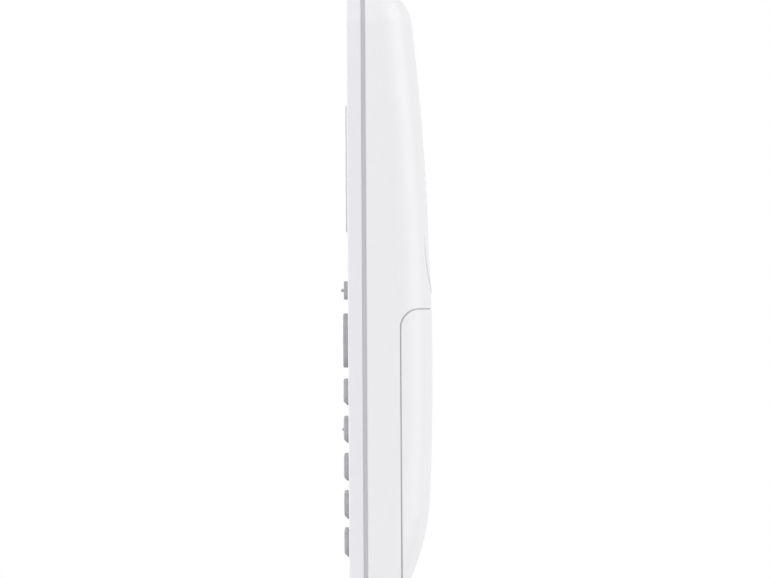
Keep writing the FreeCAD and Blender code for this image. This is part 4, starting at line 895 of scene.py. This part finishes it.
def add_call_block():
    """Talk and off keys, the ring and the dished key in its middle."""
    for node in ("talk_key", "off_key", "navigation_ring"):
        front_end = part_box(node)[0].y + CALL_KEY_FRONT
        softened(node, key_grey,
                 lambda edge: all(vert.co.y < front_end for vert in edge.verts),
                 CALL_KEY_ROUNDING)
    for node, lean, finish, across in (
            ("talk_key", TALK_LEAN, legend_green, -RECEIVER_SHIFT),
            ("off_key", 0.0, legend_red, RECEIVER_SHIFT)):
        bm = bmesh.new()
        handset_sign(bm, lean)
        on_key("legend_" + node, bm, node, finish, across)
    bm = bmesh.new()
    for quarter in range(4):
        lean = quarter * math.pi / 2
        arrow(bm, size=0.75 * MM, lean=lean, across=RING_RADIUS * math.sin(lean),
              up=RING_RADIUS * math.cos(lean))
    on_key("legend_ring", bm, "navigation_ring")

    low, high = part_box("select_key")
    middle, radius, deep = (low + high) / 2, (high.x - low.x) / 2 - FLANGE, high.y - low.y
    section = [(share * radius, sink * SELECT_DISH) for share, sink in SELECT_HOLLOW]
    section += [(radius - inwards * KEY_EDGE, back * KEY_EDGE)
                for inwards, back in SELECT_ROUNDING]
    section += [(radius, deep - FLANGE), (radius + FLANGE, deep - FLANGE),
                (radius + FLANGE, deep), (0, deep)]
    bm = bmesh.new()
    turned(bm, section, "Y")
    move(bm, bm.verts[:], middle.x, low.y, middle.z)
    piece("select_key_cap", bm, key_grey, BODY_OF["select_key"], ["select_key"])


# Thumb grip

def add_grip_rim():
    """Fine rim round the lower half of the thumb grip, a little darker than the shell as painted
    shade; its upper ends sink into the skin.
    """
    solid = bmesh.new()
    solid.from_mesh(frame["nodes"]["rear_shell"].data)
    skin = BVHTree.FromBMesh(solid)
    solid.free()
    bm = bmesh.new()
    band(bm, GRIP_HALF_WIDTH, GRIP_RIM_WIDTH, GRIP_ARC, math.pi, steps=GRIP_STEPS)
    bmesh.ops.scale(bm, vec=(1, 1, GRIP_HALF_HEIGHT / GRIP_HALF_WIDTH), verts=bm.verts[:])
    thicken(bm, bm.faces[:], 2 * GRIP_RIM_RISE)
    bevelled(bm, [edge for edge in bm.edges if lies_at(edge, 2 * GRIP_RIM_RISE)
                  and edge.calc_face_angle() > SHARP], GRIP_RIM_ROUNDING, SMALL_EDGE_STEPS)
    move(bm, bm.verts[:], back=-GRIP_RIM_RISE, up=GRIP_UP)
    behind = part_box("rear_shell")[1].y + FRONT_DEPTH
    for vert in bm.verts:
        start = Vector((vert.co.x, behind, vert.co.z))
        on_skin = skin.ray_cast(start, Vector((0, -1, 0)))[0]
        sunk = max(0.0, vert.co.z - GRIP_UP) * GRIP_RIM_FADE
        move(bm, [vert], back=on_skin.y - sunk)
    piece("grip_rim", bm, grip_rim_shade, "handset")


# Battery bay

def polarity(bm, sign, lift):
    """Plus or minus; a plus has its upright bar lifted a little, so that no faces coincide."""
    bar(bm, SIGN_LENGTH, SIGN_WIDTH)
    if sign == "plus":
        level = set(bm.verts)
        bar(bm, SIGN_WIDTH, SIGN_LENGTH)
        move(bm, [vert for vert in bm.verts if vert not in level], back=lift)


def add_bay_signs():
    """Polarity signs moulded into the shelf under the battery cover, at the foot of each cell."""
    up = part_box("battery_springs")[0].z - BAY_SIGN_DROP
    for node, sign in (("battery_cell_left", "minus"), ("battery_cell_right", "plus")):
        low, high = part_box(node)
        bm = bmesh.new()
        polarity(bm, sign, -OVERPRINT)
        printed("bay_" + sign, bm, white_shell_rear, "handset",
                ((low.x + high.x) / 2, FACE + SEAM_DEPTH, up), on_back=True,
                rise=BAY_SIGN_RISE)


def cell_sections(radius, length):
    """Sections of a cell's can, wrap and stripe, as pairs of radius and height."""
    can, head = radius - 2 * WRAP_THICKNESS, length - CELL_SHOULDER
    cap, mouth, lining = CELL_CAP * radius, CELL_CAP * radius + WRAP_MOUTH, head - WRAP_THICKNESS
    ink, under = radius + SLIP / 4, radius - SLIP
    base = [(0, CAN_HOLLOW_DEPTH), (can * CELL_HOLLOW, CAN_HOLLOW_DEPTH),
            (can * CELL_HOLLOW_END, 0), (can - CAN_BEND, 0), (can, CAN_BEND)]
    shoulder = [(can, head - SHOULDER_DROP), (can - SHOULDER_LEAN, head - SHOULDER_DIP),
                (cap + CAP_FILLET, head - SHOULDER_DIP), (cap, head + SHOULDER_DIP)]
    button = [(cap, length - CAP_ROUND), (cap - CAP_ROUND, length), (0, length)]
    outside = [(can - WRAP_UNDER, SLIP), (radius - WRAP_LEAN, SLIP), (radius, WRAP_BEND),
               (radius, head - WRAP_BEND), (radius - WRAP_LEAN, head), (mouth, head)]
    inside = [(mouth, lining), (can - WRAP_LEAN, lining), (can + SLIP, head - WRAP_UNDER),
              (can + SLIP, WRAP_INNER_BEND), (can - WRAP_UNDER, WRAP_THICKNESS),
              (can - WRAP_UNDER, SLIP)]
    low, high = head - STRIPE_LOW, head - STRIPE_HIGH
    stripe = [(under, low), (ink, low), (ink, high), (under, high), (under, low)]
    return {"can": base + shoulder + button, "wrap": outside + inside, "stripe": stripe}


def add_cells():
    """Two cells, one turned over: steel can with its cap, wrap, stripe and polarity signs."""
    coats = {"can": (tinned_steel, None), "wrap": (cell_wrap, "cell_wrap"),
             "stripe": (cell_ink, None)}
    for node, way in (("battery_cell_left", 1), ("battery_cell_right", -1)):
        low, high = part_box(node)
        middle, radius, length = (low + high) / 2, (high.x - low.x) / 2, high.z - low.z
        for part, section in cell_sections(radius, length).items():
            finish, slot = coats[part]
            bm = bmesh.new()
            turned(bm, section, "Z")
            move(bm, bm.verts[:], up=-length / 2)
            if way < 0:
                turn(bm, bm.verts[:], math.pi, "X")
            move(bm, bm.verts[:], *middle)
            piece(node + "_" + part, bm, finish, "handset",
                  () if part == "stripe" else [node])
        for sign, end in (("plus", 1), ("minus", -1)):
            bm = bmesh.new()
            polarity(bm, sign, OVERPRINT)
            thicken(bm, bm.faces[:], CELL_SIGN_DEPTH)
            for step in (-1, 0, 1):
                cut(bm, (step * SIGN_LENGTH / 4, 0, 0), (1, 0, 0))
            for vert in bm.verts:
                vert.co.y -= radius - math.sqrt(radius ** 2 - vert.co.x ** 2)
            move(bm, bm.verts[:], middle.x, middle.y + radius + PRINT / 2 - CELL_SIGN_DEPTH,
                 middle.z + way * end * (length / 2 - CELL_SIGN_INSET))
            piece(node + "_" + sign, bm, cell_ink, "handset")


def screw(radius, low, high):
    """Bmesh of a screw on the Y axis, its head outwards, with a tapered cross recess."""
    inner = HEAD_FACE * radius
    bm = bmesh.new()
    bmesh.ops.create_grid(bm, x_segments=HEAD_CELLS, y_segments=HEAD_CELLS, size=inner)
    for vert in bm.verts:
        if vert.is_boundary:
            vert.co = vert.co.normalized() * radius
    cross = []
    for face in bm.faces:
        place = face.calc_center_median()
        on_arm = min(abs(place.x), abs(place.y)) < CROSS_ARM * radius
        if on_arm and place.length < CROSS_REACH * inner:
            cross.append(face)
    made = bmesh.ops.extrude_face_region(bm, geom=cross)
    bmesh.ops.delete(bm, geom=[face for face in cross if face.is_valid], context="FACES")
    move(bm, verts_of(made["geom"]), up=-CROSS_DEPTH)
    bmesh.ops.scale(bm, vec=(CROSS_TAPER, CROSS_TAPER, 1), verts=verts_of(made["geom"]))
    rim = [edge for edge in bm.edges if edge.is_boundary]
    made = bmesh.ops.extrude_edge_only(bm, edges=rim)
    move(bm, verts_of(made["geom"]), up=-SCREW_HEAD)
    bmesh.ops.holes_fill(bm, edges=[edge for edge in bm.edges if edge.is_boundary])
    bmesh.ops.remove_doubles(bm, verts=bm.verts[:], dist=WELD)
    outwards(bm)
    turn(bm, bm.verts[:], -math.pi / 2, "X")
    move(bm, bm.verts[:], back=high)
    shank, neck = radius / 2, high - SCREW_HEAD
    turned(bm, [(0, low), (SCREW_POINT_SHARE * shank, low), (shank, low + SCREW_POINT),
                (shank, neck), (0, neck)], "Y")
    return bm


def add_screws():
    """The two case screws."""
    low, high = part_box("case_screws")
    radius = (high.z - low.z) / 2
    both = bmesh.new()
    for side in (-1, 1):
        bm = screw(radius, low.y, high.y)
        move(bm, bm.verts[:], across=side * (high.x - radius), up=(low.z + high.z) / 2)
        mesh = bpy.data.meshes.new("screw")
        bm.to_mesh(mesh)
        bm.free()
        both.from_mesh(mesh)
        bpy.data.meshes.remove(mesh)
    piece("case_screw_pair", both, screw_steel, "handset", ["case_screws"])


# Finish of each solid

FINISH_OF = {
    "front_shell": white_shell, "rear_shell": white_shell_rear,
    "battery_cover": white_shell_rear, "talk_key": key_grey, "off_key": key_grey,
    "navigation_ring": key_grey, "select_key": key_grey, "keypad_mat": silicone,
    "dome_sheet": dome_film, "main_board": board, "rf_shield": tinned_steel,
    "antenna": tinned_steel, "display_window": window_clear, "display_gasket": black_foam,
    "display_holder": dark_plastic, "display_panel": display_glass,
    "earpiece_mesh": mesh_black, "earpiece_gasket": black_foam,
    "earpiece_receiver": receiver_black, "loudspeaker_gasket": black_foam,
    "loudspeaker": receiver_black, "microphone_boot": silicone, "microphone": tinned_steel,
    "battery_cell_left": cell_wrap, "battery_cell_right": cell_wrap,
    "battery_springs": contact_metal, "battery_plates": contact_metal,
    "charge_contacts": contact_metal, "case_screws": screw_steel,
}


def dress_solids():
    """Gives the solids their finish and smooth shading."""
    for node, finish in FINISH_OF.items():
        obj = frame["nodes"][node]
        obj.data.materials.clear()
        obj.data.materials.append(finish)
        for polygon in obj.data.polygons:
            polygon.use_smooth = True


bpy.context.scene.view_settings.view_transform = "Standard"
add_camera()
add_world()
add_floor()
add_lamps()
dress_solids()
add_front_shell()
add_groove_seal()
add_seam_lip()
add_window()
add_display_signs()
add_small_keys()
add_call_block()
add_grip_rim()
add_bay_signs()
add_cells()
add_screws()
